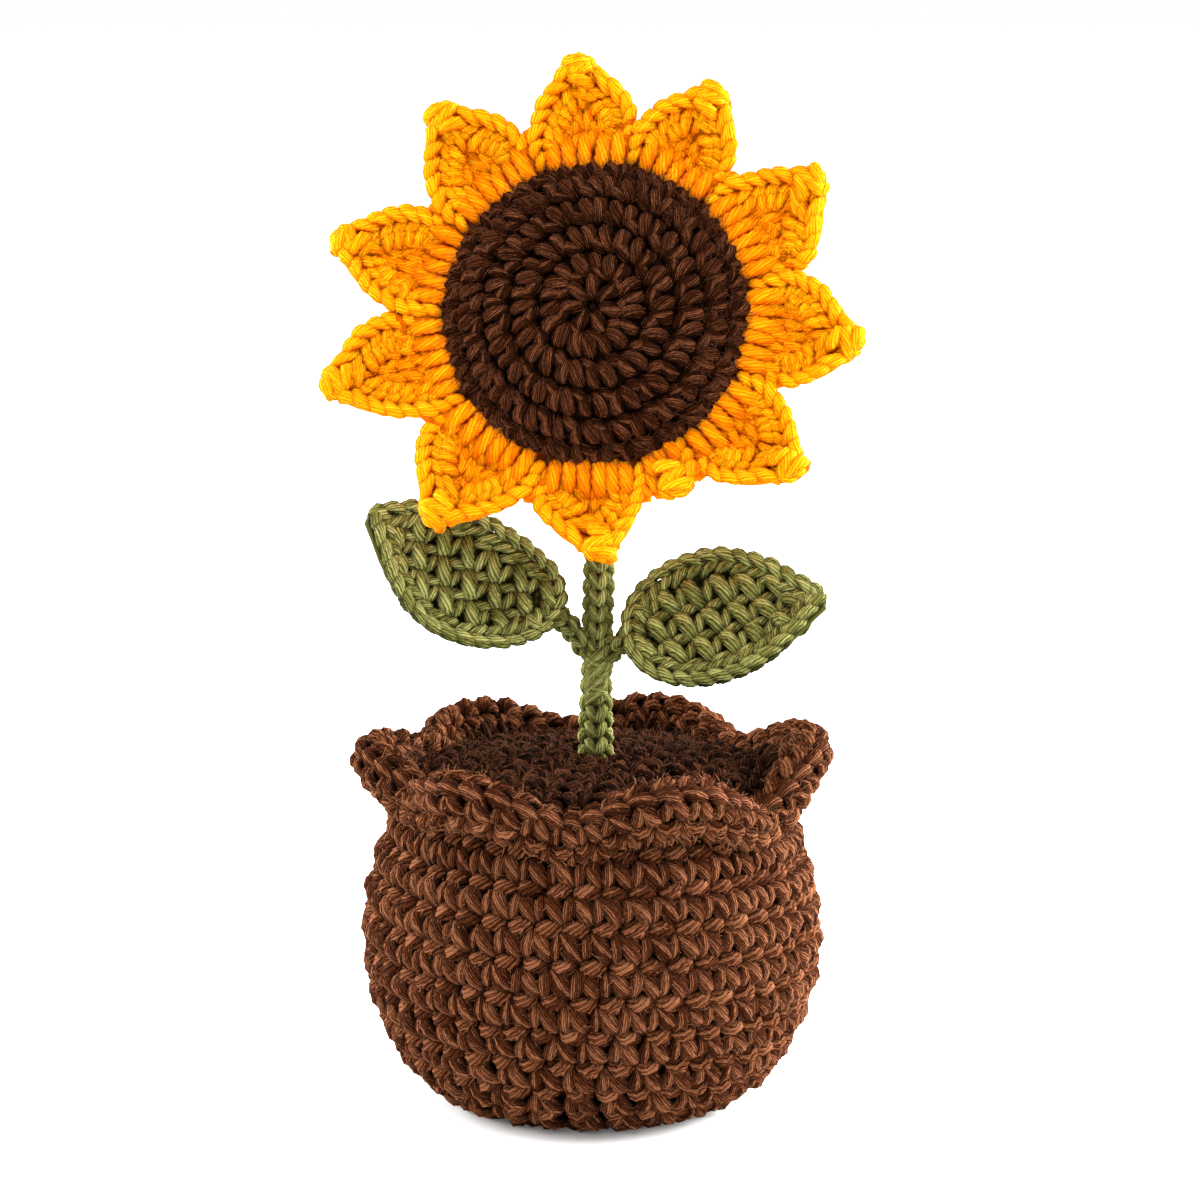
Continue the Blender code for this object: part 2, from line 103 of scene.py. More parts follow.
yarn = {
    "sides": 8,
    "rings": 7,
    "plies": 4,
    "groove": 0.07,  # how deep the plies meet, as a share of the radius
    "threads": (24, 12),  # round a strand of rows 0 and 1, and how many fewer in rows 2 and 3
    "tiles": 4,  # strands share a 4 by 4 sheet of yarn, whose rows differ in twist
    "twist": (0.25, 0.13),  # turns of the first row, and the step from row to row
    "endRoom": 0.03,  # spare share at both ends of a tile
}
fibre = {
    "sides": 3,
    "rings": 4,
    "groove": 0.0,
    "radius": 0.03,
    "start": (0.15, 0.85),  # where on its strand it may start
    "lean": 75,
    "length": (0.35, 1.0),  # as a share of the longest
    "bends": (0.35, 0.7, 1.0),  # shares of its length
    "rise": 0.62,  # how far its end stands out, in lengths
    "drift": 0.75,  # how much of it leans any way, and how much each bend strays
    "curl": 0.3,
}


def twistOf(row):
    return yarn["twist"][0] + yarn["twist"][1] * row


def makeRod(name, look):
    builder = bmesh.new()
    ring = bmesh.ops.create_circle(builder, cap_ends=False, radius=1.0, segments=look["sides"])
    for vert in ring["verts"]:
        turn = round(math.atan2(vert.co.y, vert.co.x) / math.tau * look["sides"])
        vert.co *= 1 - look["groove"] * (turn % 2)
    edges = builder.edges[:]
    for _ in range(look["rings"]):
        grown = bmesh.ops.extrude_edge_only(builder, edges=edges)["geom"]
        verts = [item for item in grown if isinstance(item, bmesh.types.BMVert)]
        bmesh.ops.translate(builder, verts=verts, vec=(0, 0, 1 / look["rings"]))
        fresh = set(verts)
        edges = [item for item in grown if isinstance(item, bmesh.types.BMEdge)]
        edges = [edge for edge in edges if fresh.issuperset(edge.verts)]
    ends = [edge for edge in builder.edges if edge.is_boundary]
    bmesh.ops.holes_fill(builder, edges=ends, sides=0)
    bmesh.ops.recalc_face_normals(builder, faces=builder.faces)
    layer = builder.loops.layers.uv.new("OFBake")
    for face in builder.faces:
        turns = [math.atan2(loop.vert.co.y, loop.vert.co.x) / math.tau % 1 for loop in face.loops]
        if max(turns) - min(turns) > 0.5:
            turns = [turn + (turn < 0.5) for turn in turns]
        for loop, turn in zip(face.loops, turns):
            loop[layer].uv = (loop.vert.co.z, turn)
        face.smooth = True
    mesh = bpy.data.meshes.new(name)
    builder.to_mesh(mesh)
    builder.free()
    return mesh


yarnRod = makeRod("yarn rod", yarn)
fibreRod = makeRod("fibre rod", fibre)


# four (place, outward) pairs steer a strand, and its row on the yarn sheet sets its twist
def strand(spots, radius, row=1, flat=0.94, taper=0.5):
    return {"spots": spots, "radius": radius, "row": row, "flat": flat, "taper": taper}


# how much each of a strand's four places counts at a share of its length
def weightsAt(share):
    back = 1 - share
    return back**3, 3 * back**2 * share, 3 * back * share**2, share**3


# one copy of the rod for each strand, bent and twisted along it
def spinYarn(name, strands, material, slot, rod=yarnRod):
    piece = added(name, rod.copy())
    copies = piece.modifiers.new("copies", "ARRAY")
    copies.count = len(strands)
    graph = bpy.context.evaluated_depsgraph_get()
    mesh = bpy.data.meshes.new_from_object(piece.evaluated_get(graph))
    piece.modifiers.clear()
    piece.data = mesh

    rodPlaces = np.empty(len(rod.vertices) * 3)
    rod.vertices.foreach_get("co", rodPlaces)
    x, y, along = rodPlaces.reshape(-1, 3).T
    spoke, start = np.hypot(x, y), np.arctan2(y, x)
    places = np.array([[spot[0] for spot in each["spots"]] for each in strands])
    outward = np.array([[spot[1] for spot in each["spots"]] for each in strands])
    keys = ("radius", "flat", "taper", "row")
    radius, flat, taper, row = (np.array([each[key] for each in strands])[:, None] for key in keys)
    back = 1 - along
    weights = np.stack(weightsAt(along), 1)
    first, last = 3 * back**2, 3 * along**2
    slopes = np.stack([-first, first - 6 * back * along, 6 * back * along - last, last], 1)
    centre = np.einsum("mk,nkd->nmd", weights, places)
    heading = np.einsum("mk,nkd->nmd", slopes, places)
    facing = np.einsum("mk,nkd->nmd", weights, outward)
    heading /= np.linalg.norm(heading, axis=2, keepdims=True) + 1e-9
    side = np.cross(heading, facing)
    side /= np.linalg.norm(side, axis=2, keepdims=True) + 1e-9
    up = np.cross(side, heading)
    angle = start + math.tau * (twistOf(row) * (along - 0.5))
    reach = spoke * radius * (taper + (1 - taper) * np.sin(np.pi * along).clip(0) ** 0.55)
    spots = centre + side * (np.cos(angle) * reach)[..., None]
    spots += up * (np.sin(angle) * reach * flat)[..., None]
    spots[..., 2] = spots[..., 2].clip(0.05)
    mesh.vertices.foreach_set("co", (spots * mm).ravel())

    corners = np.empty(len(rod.loops) * 2)
    rod.uv_layers["OFBake"].data.foreach_get("uv", corners)
    u, v = corners.reshape(-1, 2).T
    tiles, room = yarn["tiles"], yarn["endRoom"]
    column = np.array([chance.randrange(tiles) for _ in strands])[:, None]
    v = (v + twistOf(row) * (u - 0.5) + 0.5) / 2
    u = room + (1 - 2 * room) * u
    sheet = np.stack([(column + u) / tiles, (row + v) / tiles], 2)
    mesh.uv_layers["OFBake"].data.foreach_set("uv", sheet.ravel())
    mesh.materials.clear()
    mesh.materials.append(material)
    mesh.update()
    settle(piece, slot)


def settle(piece, slot, nodes=()):
    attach(piece, "root")
    if nodes:
        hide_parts(*nodes)


# loose fibres that stand off some of the strands
def fluff(name, strands, count, length, material, slot):
    hairs = []
    for _ in range(count):
        host = chance.choice(strands)
        centre, facing = Vector(), Vector()
        for (place, outward), share in zip(host["spots"], weightsAt(chance.uniform(*fibre["start"]))):
            centre += place * share
            facing += outward * share
        ahead = host["spots"][3][0] - host["spots"][0][0]
        side = ahead.cross(facing).normalized()
        lean = math.radians(jitter(fibre["lean"]))
        spoke = facing.normalized() * math.cos(lean) + side * math.sin(lean)
        drift = anyWay(1)
        reach = length * chance.uniform(*fibre["length"])
        foot = centre + spoke * host["radius"] * 0.85
        bends = [foot]
        for share in fibre["bends"]:
            way = spoke * fibre["rise"] * share + drift * share**1.5 * fibre["drift"]
            bends.append(foot + (way + anyWay(fibre["curl"]) * share) * reach)
        spots = [(bend, facing) for bend in bends]
        hairs.append(strand(spots, fibre["radius"], row=0, flat=1.0, taper=0.6))
    spinYarn(name, hairs, material, slot, rod=fibreRod)


# yarn finish: plies, threads and fibres drawn on the yarn sheet

# short ways to add nodes: inputs go by name or number, as values or as other nodes' outputs
def nodeMakers(tree):
    def plug(node, inputs):
        for key, value in inputs.items():
            if isinstance(value, bpy.types.NodeSocket):
                tree.links.new(value, node.inputs[key])
            else:
                node.inputs[key].default_value = value

    def make(kind, inputs=None, **settings):
        node = tree.nodes.new(kind)
        for key, value in settings.items():
            setattr(node, key, value)
        plug(node, inputs or {})
        return node.outputs

    def blend(share, low, high):
        return make("ShaderNodeMix", {0: share, 6: low, 7: high}, data_type="RGBA")[2]

    return plug, make, blend


# colour, roughness and height of plied yarn, from a place on the yarn sheet; the colour carries painted shade
# and highlights
def makeYarnGroup():
    tree = bpy.data.node_groups.new("plied yarn", "ShaderNodeTree")
    # Deep is a painted shadow colour, Dark painted shade between threads, Body the yarn's own colour, Light a
    # painted highlight on thread tops with lighter fibres
    for name in ("Deep", "Dark", "Body", "Light"):
        tree.interface.new_socket(name, in_out="INPUT", socket_type="NodeSocketColor")
    # Melange mixes in the yarn's own flecks; Depth sets how strong the painted shadow at a strand's ends and
    # underside is
    for name in ("Melange", "Depth"):
        tree.interface.new_socket(name, in_out="INPUT", socket_type="NodeSocketFloat")
    tree.interface.new_socket("Color", in_out="OUTPUT", socket_type="NodeSocketColor")
    for name in ("Roughness", "Height"):
        tree.interface.new_socket(name, in_out="OUTPUT", socket_type="NodeSocketFloat")
    _, make, blend = nodeMakers(tree)

    def sums(operation, first, second=0.0, third=0.0, clamp=False):
        inputs = {0: first, 1: second, 2: third}
        return make("ShaderNodeMath", inputs, operation=operation, use_clamp=clamp)[0]

    def place(x, y, z=0.0):
        return make("ShaderNodeCombineXYZ", {0: x, 1: y, 2: z})[0]

    plus, minus, times = (partial(sums, kind) for kind in ("ADD", "SUBTRACT", "MULTIPLY"))
    given = make("NodeGroupInput")
    split = make("ShaderNodeSeparateXYZ", {0: make("ShaderNodeUVMap", uv_map="OFBake")[0]})
    tiles, room = yarn["tiles"], yarn["endRoom"]
    across, down = times(split[0], tiles), times(split[1], tiles)
    column, row = sums("FLOOR", across), sums("FLOOR", down)
    along = sums("DIVIDE", minus(sums("FRACT", across), room), 1 - 2 * room)
    turn = minus(times(sums("FRACT", down), 2.0), 0.5)
    twist = sums("MULTIPLY_ADD", row, yarn["twist"][1], yarn["twist"][0])
    ply = minus(turn, times(twist, minus(along, 0.5)))

    # noise that closes on itself round the strand
    angle = times(ply, math.tau)
    seed = plus(times(column, 7.3), times(row, 3.1))
    ringX, ringY = times(sums("COSINE", angle), 1.6), times(sums("SINE", angle), 1.6)
    ring = {"Vector": place(ringX, ringY, plus(times(along, 2.2), seed))}
    wander = make("ShaderNodeTexNoise", {**ring, "Scale": 1.7, "Detail": 2.0})[0]
    fibres = make("ShaderNodeTexNoise", {**ring, "Scale": 6.5, "Detail": 3.0, "Roughness": 0.65})[0]

    def ridge(count, phase, sharp=2.6):
        wave = sums("FRACT", plus(times(ply, count), phase))
        fall = sums("ABSOLUTE", minus(times(wave, 2.0), 1.0))
        return minus(1.0, sums("POWER", fall, sharp))

    def scatter(x, y):
        return make("ShaderNodeTexWhiteNoise", {"Vector": place(x, y)}, noise_dimensions="2D")[0]

    plies = ridge(yarn["plies"], 0.5)
    lean = plus(times(along, 0.6), times(wander, 2.0))
    most, fewer = yarn["threads"]
    count = minus(most, times(sums("GREATER_THAN", row, 1.5), fewer))
    threads = ridge(count, lean)
    order = sums("WRAP", sums("FLOOR", plus(times(ply, count), lean)), count, 0.0)
    dyed = scatter(order, seed)
    height = plus(plus(times(plies, 0.25), times(threads, 0.6)), times(fibres, 0.2))

    # painted shade (Dark) between the threads, Body on them and a painted highlight (Light) on their tops,
    # mixed with the yarn's own light and dark flecks
    speckle = plus(minus(fibres, 0.5), sums("MULTIPLY_ADD", dyed, 0.36, -0.18))
    shade = plus(times(plies, 0.14), times(threads, 0.46))
    shade = plus(shade, times(speckle, given["Melange"]), clamp=True)
    lit = blend(times(shade, 1.8, clamp=True), given["Dark"], given["Body"])
    lit = blend(sums("MULTIPLY_ADD", shade, 2.0, -0.95, clamp=True), lit, given["Light"])

    # painted shadow: the Deep colour at a strand's ends and on its underside, where the strand would lie in
    # shade
    upper = make("ShaderNodeMapRange", {0: sums("SINE", times(turn, math.tau)), 1: 0.02, 2: 0.88})[0]
    tips = times(times(along, minus(1.0, along)), 5.5, clamp=True)
    paintedShadeShare = times(minus(1.0, times(upper, tips)), given["Depth"])
    sunk = blend(paintedShadeShare, lit, given["Deep"])
    keep = sums("MULTIPLY_ADD", scatter(column, row), 0.14, 0.93)
    shown = make("ShaderNodeVectorMath", {0: sunk, "Scale": keep}, operation="SCALE")[0]
    rough = minus(0.98, times(plies, 0.1))
    make("NodeGroupOutput", {"Color": shown, "Roughness": rough, "Height": height})
    return tree


yarnGroup = makeYarnGroup()


# a material, and ways to make its nodes, blend colours and set its shader
def newMaterial(name):
    material = bpy.data.materials.new(name)
    material.use_nodes = True
    plug, make, blend = nodeMakers(material.node_tree)
    return material, make, blend, partial(plug, material.node_tree.nodes["Principled BSDF"])


def yarnFinish(name, look):
    material, make, _, dress = newMaterial(name)
    inputs = {part.title(): (*look[part], 1) for part in ("deep", "dark", "body", "light")}
    inputs.update({"Melange": look["melange"], "Depth": look["depth"]})
    plied = make("ShaderNodeGroup", inputs, node_tree=yarnGroup)
    relief = {"Strength": 1.0, "Distance": look["relief"] * mm, "Height": plied["Height"]}
    dress({
        "Base Color": plied["Color"],
        "Roughness": plied["Roughness"],
        "Normal": make("ShaderNodeBump", relief)[0],
        "Specular IOR Level": look["gloss"],
        "Subsurface Weight": look["glow"],
        "Subsurface Radius": (1.0, 0.35, 0.05),
        "Subsurface Scale": 1.6 * mm,
    })
    return material


# the dark fill behind the stitches, painted shade seen through the gaps between them, and the loose fibres:
# soft and slightly uneven
def plainFinish(name, colour, grain=900):
    material, make, blend, dress = newMaterial(name)
    place = make("ShaderNodeTexCoord")["Object"]
    noise = make("ShaderNodeTexNoise", {"Vector": place, "Scale": grain, "Detail": 3.0})[0]
    low, high = ((*[part * share for part in colour], 1) for share in (0.55, 1.45))
    dress({
        "Base Color": blend(noise, low, high),
        "Roughness": 0.95,
        "Normal": make("ShaderNodeBump", {"Strength": 0.6, "Distance": 0.3 * mm, "Height": noise})[0],
        "Specular IOR Level": 0.05,
    })
    return material


# in each yarn look, deep is a painted shadow colour for strand ends and undersides, dark is painted shade
# between the threads, light is a painted highlight on thread tops mixed with the yarn's lighter fibres, and
# body is the yarn's own colour; the shade amount sets how strongly the painted shadow darkens
brownYarn = {"melange": 1.5, "depth": 1.0, "glow": 0.0, "relief": 0.5, "gloss": 0.02}
yellowYarn = {"melange": 0.5, "depth": 0.8, "glow": 0.35, "relief": 0.3, "gloss": 0.04}
greenYarn = {"melange": 0.8, "depth": 0.85, "glow": 0.0, "relief": 0.45, "gloss": 0.04}
yarnLooks = {
    "pot yarn": {
        "deep": (0.003, 0.0008, 0.0002),
        "dark": (0.011, 0.0025, 0.0008),
        "body": (0.072, 0.0195, 0.0062),
        "light": (0.245, 0.096, 0.044),
        **brownYarn,
    },
    "soil yarn": {
        "deep": (0.001, 0.0003, 0.0001),
        "dark": (0.003, 0.001, 0.0002),
        "body": (0.014, 0.0037, 0.0012),
        "light": (0.088, 0.032, 0.0135),
        **brownYarn,
    },
    "disc yarn": {
        "deep": (0.002, 0.0004, 0.0001),
        "dark": (0.005, 0.0012, 0.0003),
        "body": (0.038, 0.009, 0.0025),
        "light": (0.150, 0.052, 0.022),
        **brownYarn,
    },
    "petal yarn": {
        "deep": (0.60, 0.085, 0.0),
        "dark": (0.88, 0.17, 0.0),
        "body": (0.92, 0.300, 0.0),
        "light": (0.96, 0.560, 0.010),
        **yellowYarn,
    },
    # a darker, more orange copy of the petal yarn for the posts and ribs: painted shade of the petal's recess
    "petal recess shade yarn": {
        "deep": (0.46, 0.050, 0.0),
        "dark": (0.82, 0.12, 0.0),
        "body": (0.92, 0.235, 0.0),
        "light": (0.95, 0.460, 0.005),
        **yellowYarn,
    },
    "leaf yarn": {
        "deep": (0.012, 0.012, 0.002),
        "dark": (0.030, 0.029, 0.004),
        "body": (0.190, 0.190, 0.046),
        "light": (0.510, 0.512, 0.190),
        **greenYarn,
    },
}
# the fills behind the stitches are darker than their yarns: painted shade seen through the gaps; the two
# fibre colours are loose hairs
plainLooks = {
    "pot gap shade": (0.030, 0.009, 0.003),
    "soil gap shade": (0.009, 0.004, 0.003),
    "disc gap shade": (0.016, 0.006, 0.004),
    "petal gap shade": (0.80, 0.17, 0.0),
    "leaf gap shade": (0.060, 0.060, 0.012),
    "brown fibre": (0.30, 0.13, 0.06),
    "dark fibre": (0.105, 0.040, 0.019),
}
finish = {name: yarnFinish(name, look) for name, look in yarnLooks.items()}
finish |= {name: plainFinish(name, colour) for name, colour in plainLooks.items()}
print("yarn and finishes ready")


# shared shaping

# a place above a surface, and the way out of the surface there
def spotOn(surface, a, b, lift):
    place = surface(a, b, lift)
    return place, (surface(a, b, lift + 0.5) - place).normalized()


def laid(surface, steps, radius, **more):
    return strand([spotOn(surface, *step) for step in steps], radius, **more)


# the same steps, each moved a little by chance
def loose(steps, across, up, lift):
    return [(a + jitter(across), b + jitter(up), c + jitter(lift)) for a, b, c in steps]


# a closed shell spun about Z from (radius, height) points that start and end on the axis
def turned(name, profile, segments, material, slot, nodes=(), place=None):
    builder = bmesh.new()
    verts = [builder.verts.new((radius * mm, 0, height * mm)) for radius, height in profile]
    edges = [builder.edges.new(pair) for pair in zip(verts, verts[1:])]
    swing = {"cent": (0, 0, 0), "axis": (0, 0, 1), "angle": math.tau, "steps": segments}
    bmesh.ops.spin(builder, geom=verts + edges, use_merge=True, **swing)
    bmesh.ops.remove_doubles(builder, verts=builder.verts, dist=1e-6)
    bmesh.ops.recalc_face_normals(builder, faces=builder.faces)
    if place:
        bmesh.ops.transform(builder, matrix=place, verts=builder.verts)
    finished(name, builder, material, slot, nodes)


def finished(name, builder, material, slot, nodes=()):
    mesh = bpy.data.meshes.new(name)
    builder.to_mesh(mesh)
    builder.free()
    mesh.materials.append(material)
    mesh.shade_smooth()
    settle(added(name, mesh), slot, nodes)


# a tube through rings of places, capped at its ends or joined into a loop
def addTube(builder, rings, joined=False):
    loops = []
    for ring in rings:
        verts = [builder.verts.new(spot * mm) for spot in ring]
        loops.append([builder.edges.new(pair) for pair in zip(verts, verts[1:] + verts[:1])])
    for near, far in zip(loops, loops[1:] + loops[:1] if joined else loops[1:]):
        bmesh.ops.bridge_loops(builder, edges=near + far)
    if not joined:
        bmesh.ops.holes_fill(builder, edges=loops[0] + loops[-1], sides=0)
    bmesh.ops.recalc_face_normals(builder, faces=builder.faces)


# a sheet over a surface, from a grid pressed onto it and thickened, to fill in behind the stitches; it is
# given a dark finish, painted shade for the gaps
def addSheet(builder, surface, reachA, reachB, lift, thickness, segments=(14, 10)):
    columns, rows = segments
    grid = bmesh.ops.create_grid(builder, x_segments=columns, y_segments=rows, size=0.5)
    verts = grid["verts"]
    for vert in verts:
        a = mix(*reachA, vert.co.x + 0.5)
        b = mix(*reachB, vert.co.y + 0.5)
        vert.co = surface(a, b, lift) * mm
    faces = list({face for vert in verts for face in vert.link_faces})
    bmesh.ops.recalc_face_normals(builder, faces=faces)
    bmesh.ops.solidify(builder, geom=faces, thickness=thickness * mm)


# single crochet: strands in shares of a stitch's width and a round's height
stitch = {
    "wall": (  # steps (across, up, lift), radius, row of twist
        (((0.12, 1.02, -1.4), (0.18, 0.96, 2.3), (0.40, 0.58, 2.8), (0.56, 0.26, -0.6)), 1.70, 1),
        (((0.96, 1.00, -1.4), (0.96, 0.94, 2.0), (0.84, 0.60, 2.6), (0.68, 0.30, -0.6)), 1.50, 1),
        (((0.74, 0.16, -1.6), (0.92, 0.08, 2.1), (1.28, 0.14, 2.1), (1.46, 0.22, -1.6)), 1.84, 2),
    ),
    "dome": (
        (((0.06, 0.04, -1.8), (-0.06, 0.24, 2.0), (-0.04, 0.58, 3.0), (0.06, 0.88, -1.4)), 1.48, 1),
        (((0.20, 0.06, -1.8), (0.36, 0.18, 2.0), (0.52, 0.56, 3.1), (0.50, 0.90, -1.4)), 1.48, 0),
        (((0.38, 0.02, -1.8), (0.66, -0.02, 1.7), (0.88, 0.18, 2.2), (0.98, 0.46, -1.5)), 1.36, 1),
    ),
    "blade": (
        (((0.06, 1.00, -1.6), (0.20, 0.98, 2.0), (0.52, 0.54, 2.6), (0.60, 0.08, -1.0)), 1.70, 2),
        (((0.96, 0.96, -1.6), (0.96, 0.90, 1.0), (0.86, 0.56, 2.0), (0.70, 0.18, -1.0)), 1.35, 3),
        (((0.66, 0.12, -1.4), (0.84, 0.02, 1.3), (1.20, 0.20, 1.3), (1.40, 0.32, -1.4)), 1.25, 2),
    ),
    "width": 4.9,  # of a stitch whose strands have these radii
    "slack": (0.09, 0.06, 0.35),  # how far each step strays
}


def crochet(parts, surface, turn, length, width, rise, grow):
    strands = []
    for steps, radius, row in stitch[parts]:
        moved = loose(steps, *stitch["slack"])
        bends = [(turn + a * width, length + b * rise, c * grow) for a, b, c in moved]
        strands.append(laid(surface, bends, uneven(radius * grow, 0.09), row=row))
    return strands


# rounds of crochet, where turn runs against the work and length runs from the middle outwards
def crochetRounds(surface, piece, radiusAt):
    strands = []
    for k, count in enumerate(piece["stitches"]):
        width = 360 / count
        for i in range(count):
            share = (i + 0.5) / count
            length = piece["start"] + piece["rise"] * (k + share * piece["spiral"])
            if length > piece["end"]:
                continue
            turn = piece["seam"] - 360 * share + width * (k * piece["lean"] + piece["phase"] - 0.5)
            wide = radiusAt(length + piece["rise"] / 2) * math.radians(width)
            grow = piece["scale"] * min(1.0, 0.4 + 0.6 * wide / (stitch["width"] * piece["scale"]))
            strands += crochet(piece["parts"], surface, turn, length, width, piece["rise"], grow)
    return strands


# plump radial strands round the middle of a piece
def rosette(surface, count, inner, outer, radius, row=2):
    strands = []
    for i in range(count):
        turn = 360 * i / count + jitter(4)
        low, high = mix(inner, outer, 0.3), mix(inner, outer, 0.85)
        bends = ((turn, inner, -1.2), (turn + 6, low, 2.1), (turn - 6, high, 2.3), (turn, outer, -0.8))
        strands.append(laid(surface, bends, radius, row=row, taper=0.8))
    return strands


# a chain of Vs along a line: surface(along, offset, lift), with its groove at the middle
vee = ((0.0, 0.0), (0.30, 0.45), (0.95, 1.20), (1.40, 1.40))  # steps along, widths out


def chainOf(surface, start, end, look):
    strands = []
    count = max(1, round((end - start) / look["step"]))
    step = (end - start) / count
    lifts = (look["low"], look["high"], look["high"], look["low"])
    for i in range(count):
        s = start + i * step
        for side, radius, row in zip((-1, 1), look["radii"], (2, 3)):
            wide = side * look["wide"]
            bends = [(s + step * a, look["middle"] + wide * b, c) for (a, b), c in zip(vee, lifts)]
            strands.append(laid(surface, loose(bends, *look["slack"]), uneven(radius), row=row))
    return strands


# how far along a row of points each one is
def lengthsOf(points):
    return np.concatenate([[0], np.cumsum(np.hypot(*np.diff(points, axis=0).T))])


def smoothed(line, reach):
    kernel = np.hanning(2 * reach + 3)[1:-1]
    padded = np.pad(line, reach, "reflect", reflect_type="odd")
    return np.convolve(padded, kernel / kernel.sum(), "valid")


# a turned piece's outline, with its corners eased: lengths, radii, heights and slopes
def smoothOutline(points, window):
    corners = np.array(points, float)
    lengths = lengthsOf(corners)
    even = np.linspace(0, lengths[-1], 400)
    reach = int(window / even[1])
    radii, heights = (smoothed(np.interp(even, lengths, line), reach) for line in corners.T)
    return even, radii, heights, np.unwrap(np.arctan2(np.gradient(heights), np.gradient(radii)))


# radius and height at a length of the outline, and off it to the right by lift
def offOutline(outline, length, lift=0.0):
    radius, height, slope = (np.interp(length, outline[0], line) for line in outline[1:])
    return radius + math.sin(slope) * lift, height - math.cos(slope) * lift


rim = {
    "step": 0.25,
    "blur": 4,  # steps
    "splay": (1.2, 0.35),  # within this inset, strands lean out by this share of their lift
}


# an outline walked at even steps: surface(along, inset, lift) and the walk's length
def rimWalk(points, heights, place):
    flat = np.array(points, float)
    lengths = lengthsOf(flat)
    even = np.arange(0, lengths[-1], rim["step"])
    x, y = (smoothed(np.interp(even, lengths, line), rim["blur"]) for line in flat.T)
    level, rise, half = (np.interp(even, lengths, line) for line in np.array(heights, float).T)
    slopeX, slopeY = np.gradient(x), np.gradient(y)
    run = np.hypot(slopeX, slopeY)
    inX, inY = -slopeY / run, slopeX / run

    def surface(along, inset, lift):
        at = [np.interp(along, even, line) for line in (x, y, inX, inY, level, rise, half)]
        edge = max(0.0, 1 - inset / max(at[6], 0.5)) ** 2
        border, share = rim["splay"]
        inset = inset - max(0.0, border - inset) * share * lift
        height = at[4] + at[5] * edge + lift
        return place @ Vector((at[0] + at[2] * inset, at[1] + at[3] * inset, height))

    return surface, even[-1]


# pot: a spiral of single crochet from the middle of the underside to the neck

pot = {
    "outline": (  # (radius, height) from the middle of the underside up the wall
        (0, 0), (10, 0), (19.6, 0.0), (21.5, 0.6), (23.9, 2.0), (28.4, 5.4), (31.3, 9.4),
        (33.8, 14.4), (35.6, 20.4), (36.3, 26.4), (36.0, 32.4), (34.9, 38.4), (33.1, 43.4),
        (31.2, 48.5), (30.4, 51.5), (29.6, 54.5),
    ),
    "eased": 3.0,
    "sunk": 1.85,  # from the outline in to the fabric that the strands stand on
    "core": 0.1,  # and from there in to the dark core
    "coreEnd": 75.0,
    "neckWall": 1.5,
    "lid": (25.6, 52.2),  # radius and height of the core under the soil
    "segments": 64,
    "floor": 0.15,
    "rosette": {"count": 7, "inner": 0.6, "outer": 6.4, "radius": 1.6},
    "parts": "wall",
    "stitches": (6, 12, 18, 24, 31, 38, 44, 48, 48, 48, 48, 46, 46),
    "rise": 5.8,  # a round's height along the outline
    "start": 0.5,
    "end": 76.0,
    "spiral": 1,
    "seam": 90,
    "lean": 0.38,  # how far each round's stitches stand beside those below
    "phase": 0.58,
    "scale": 1.0,
    "fluff": (2600, 1.5),  # hairs, and the longest of them
}
potOutline = smoothOutline(pot["outline"], pot["eased"])


def potSurface(azimuth, length, lift):
    radius, height = offOutline(potOutline, length, lift - pot["sunk"])
    return polar(azimuth, radius, max(height, pot["floor"]))


def makePot():
    profile = []
    for length in np.linspace(0, pot["coreEnd"], 40):
        place = potSurface(0, length, -pot["core"])
        profile.append((max(place.x, 0.0), place.z))
    profile[0] = (0.0, profile[0][1])
    radius, height = profile[-1]
    profile += [(radius - pot["neckWall"], height), pot["lid"], (0.0, pot["lid"][1])]
    turned("potCore", profile, pot["segments"], finish["pot gap shade"], "pot_yarn", ["pot"])
    strands = rosette(potSurface, **pot["rosette"])
    strands += crochetRounds(potSurface, pot, lambda length: offOutline(potOutline, length)[0])
    half = len(strands) // 2
    spinYarn("potRoundsLower", strands[:half], finish["pot yarn"], "pot_yarn")
    spinYarn("potRoundsUpper", strands[half:], finish["pot yarn"], "pot_yarn")
    fluff("potFluff", strands[half // 2:], *pot["fluff"], finish["brown fibre"], "pot_yarn")
    print("pot:", len(strands), "strands")


makePot()


# ruffle: a waved collar with posts inside and out and a chain of Vs along its rim

ruffle = {
    "lobes": (  # (angle, height of its middle, height of the dip after it)
        (4, 56.5, 51.8), (72, 55.2, 52.3), (124, 55.3, 52.8),
        (181, 55.6, 51.4), (236, 55.2, 49.2), (291, 55.2, 48.0),
    ),
    "rimRadius": (30.0, 34.2),  # of the band's middle, in a dip and at a lobe
    "halfHeight": (3.3, 4.1),
    "halfThickness": (2.5, 2.8),
    "flare": (4, 30),  # how far the band leans out
    "fullness": 0.7,
    "sunk": 0.9,
    "core": 0.8,
    "posts": 52,
    "rows": ((42, -26, 0.90), (-26, -84, 0.82), (206, 140, 0.80)),  # (turn at the top, at the foot, scale)
    "shift": 0.5,
    "seat": (26.3, 53.6),  # where the inside meets the soil: radius, height
    "seatTop": 196,  # turn of the band's inside
    "seatSunk": 0.6,
    "seatScale": 0.78,
    "loops": 58,
    "radius": 1.68,
    "legs": (  # (loops along, turn, lift), and the row of twist
        (((0.0, 88, -1.4), (0.3, 80, 1.7), (0.85, 50, 1.7), (1.2, 30, -1.4)), 1),
        (((0.0, 92, -1.4), (0.3, 100, 1.7), (0.85, 130, 1.7), (1.2, 150, -1.4)), 2),
    ),
    "slack": (0.05, 4, 0.12),
    "fluff": (2400, 1.5),
    "seatFluff": (500, 1.8),
}


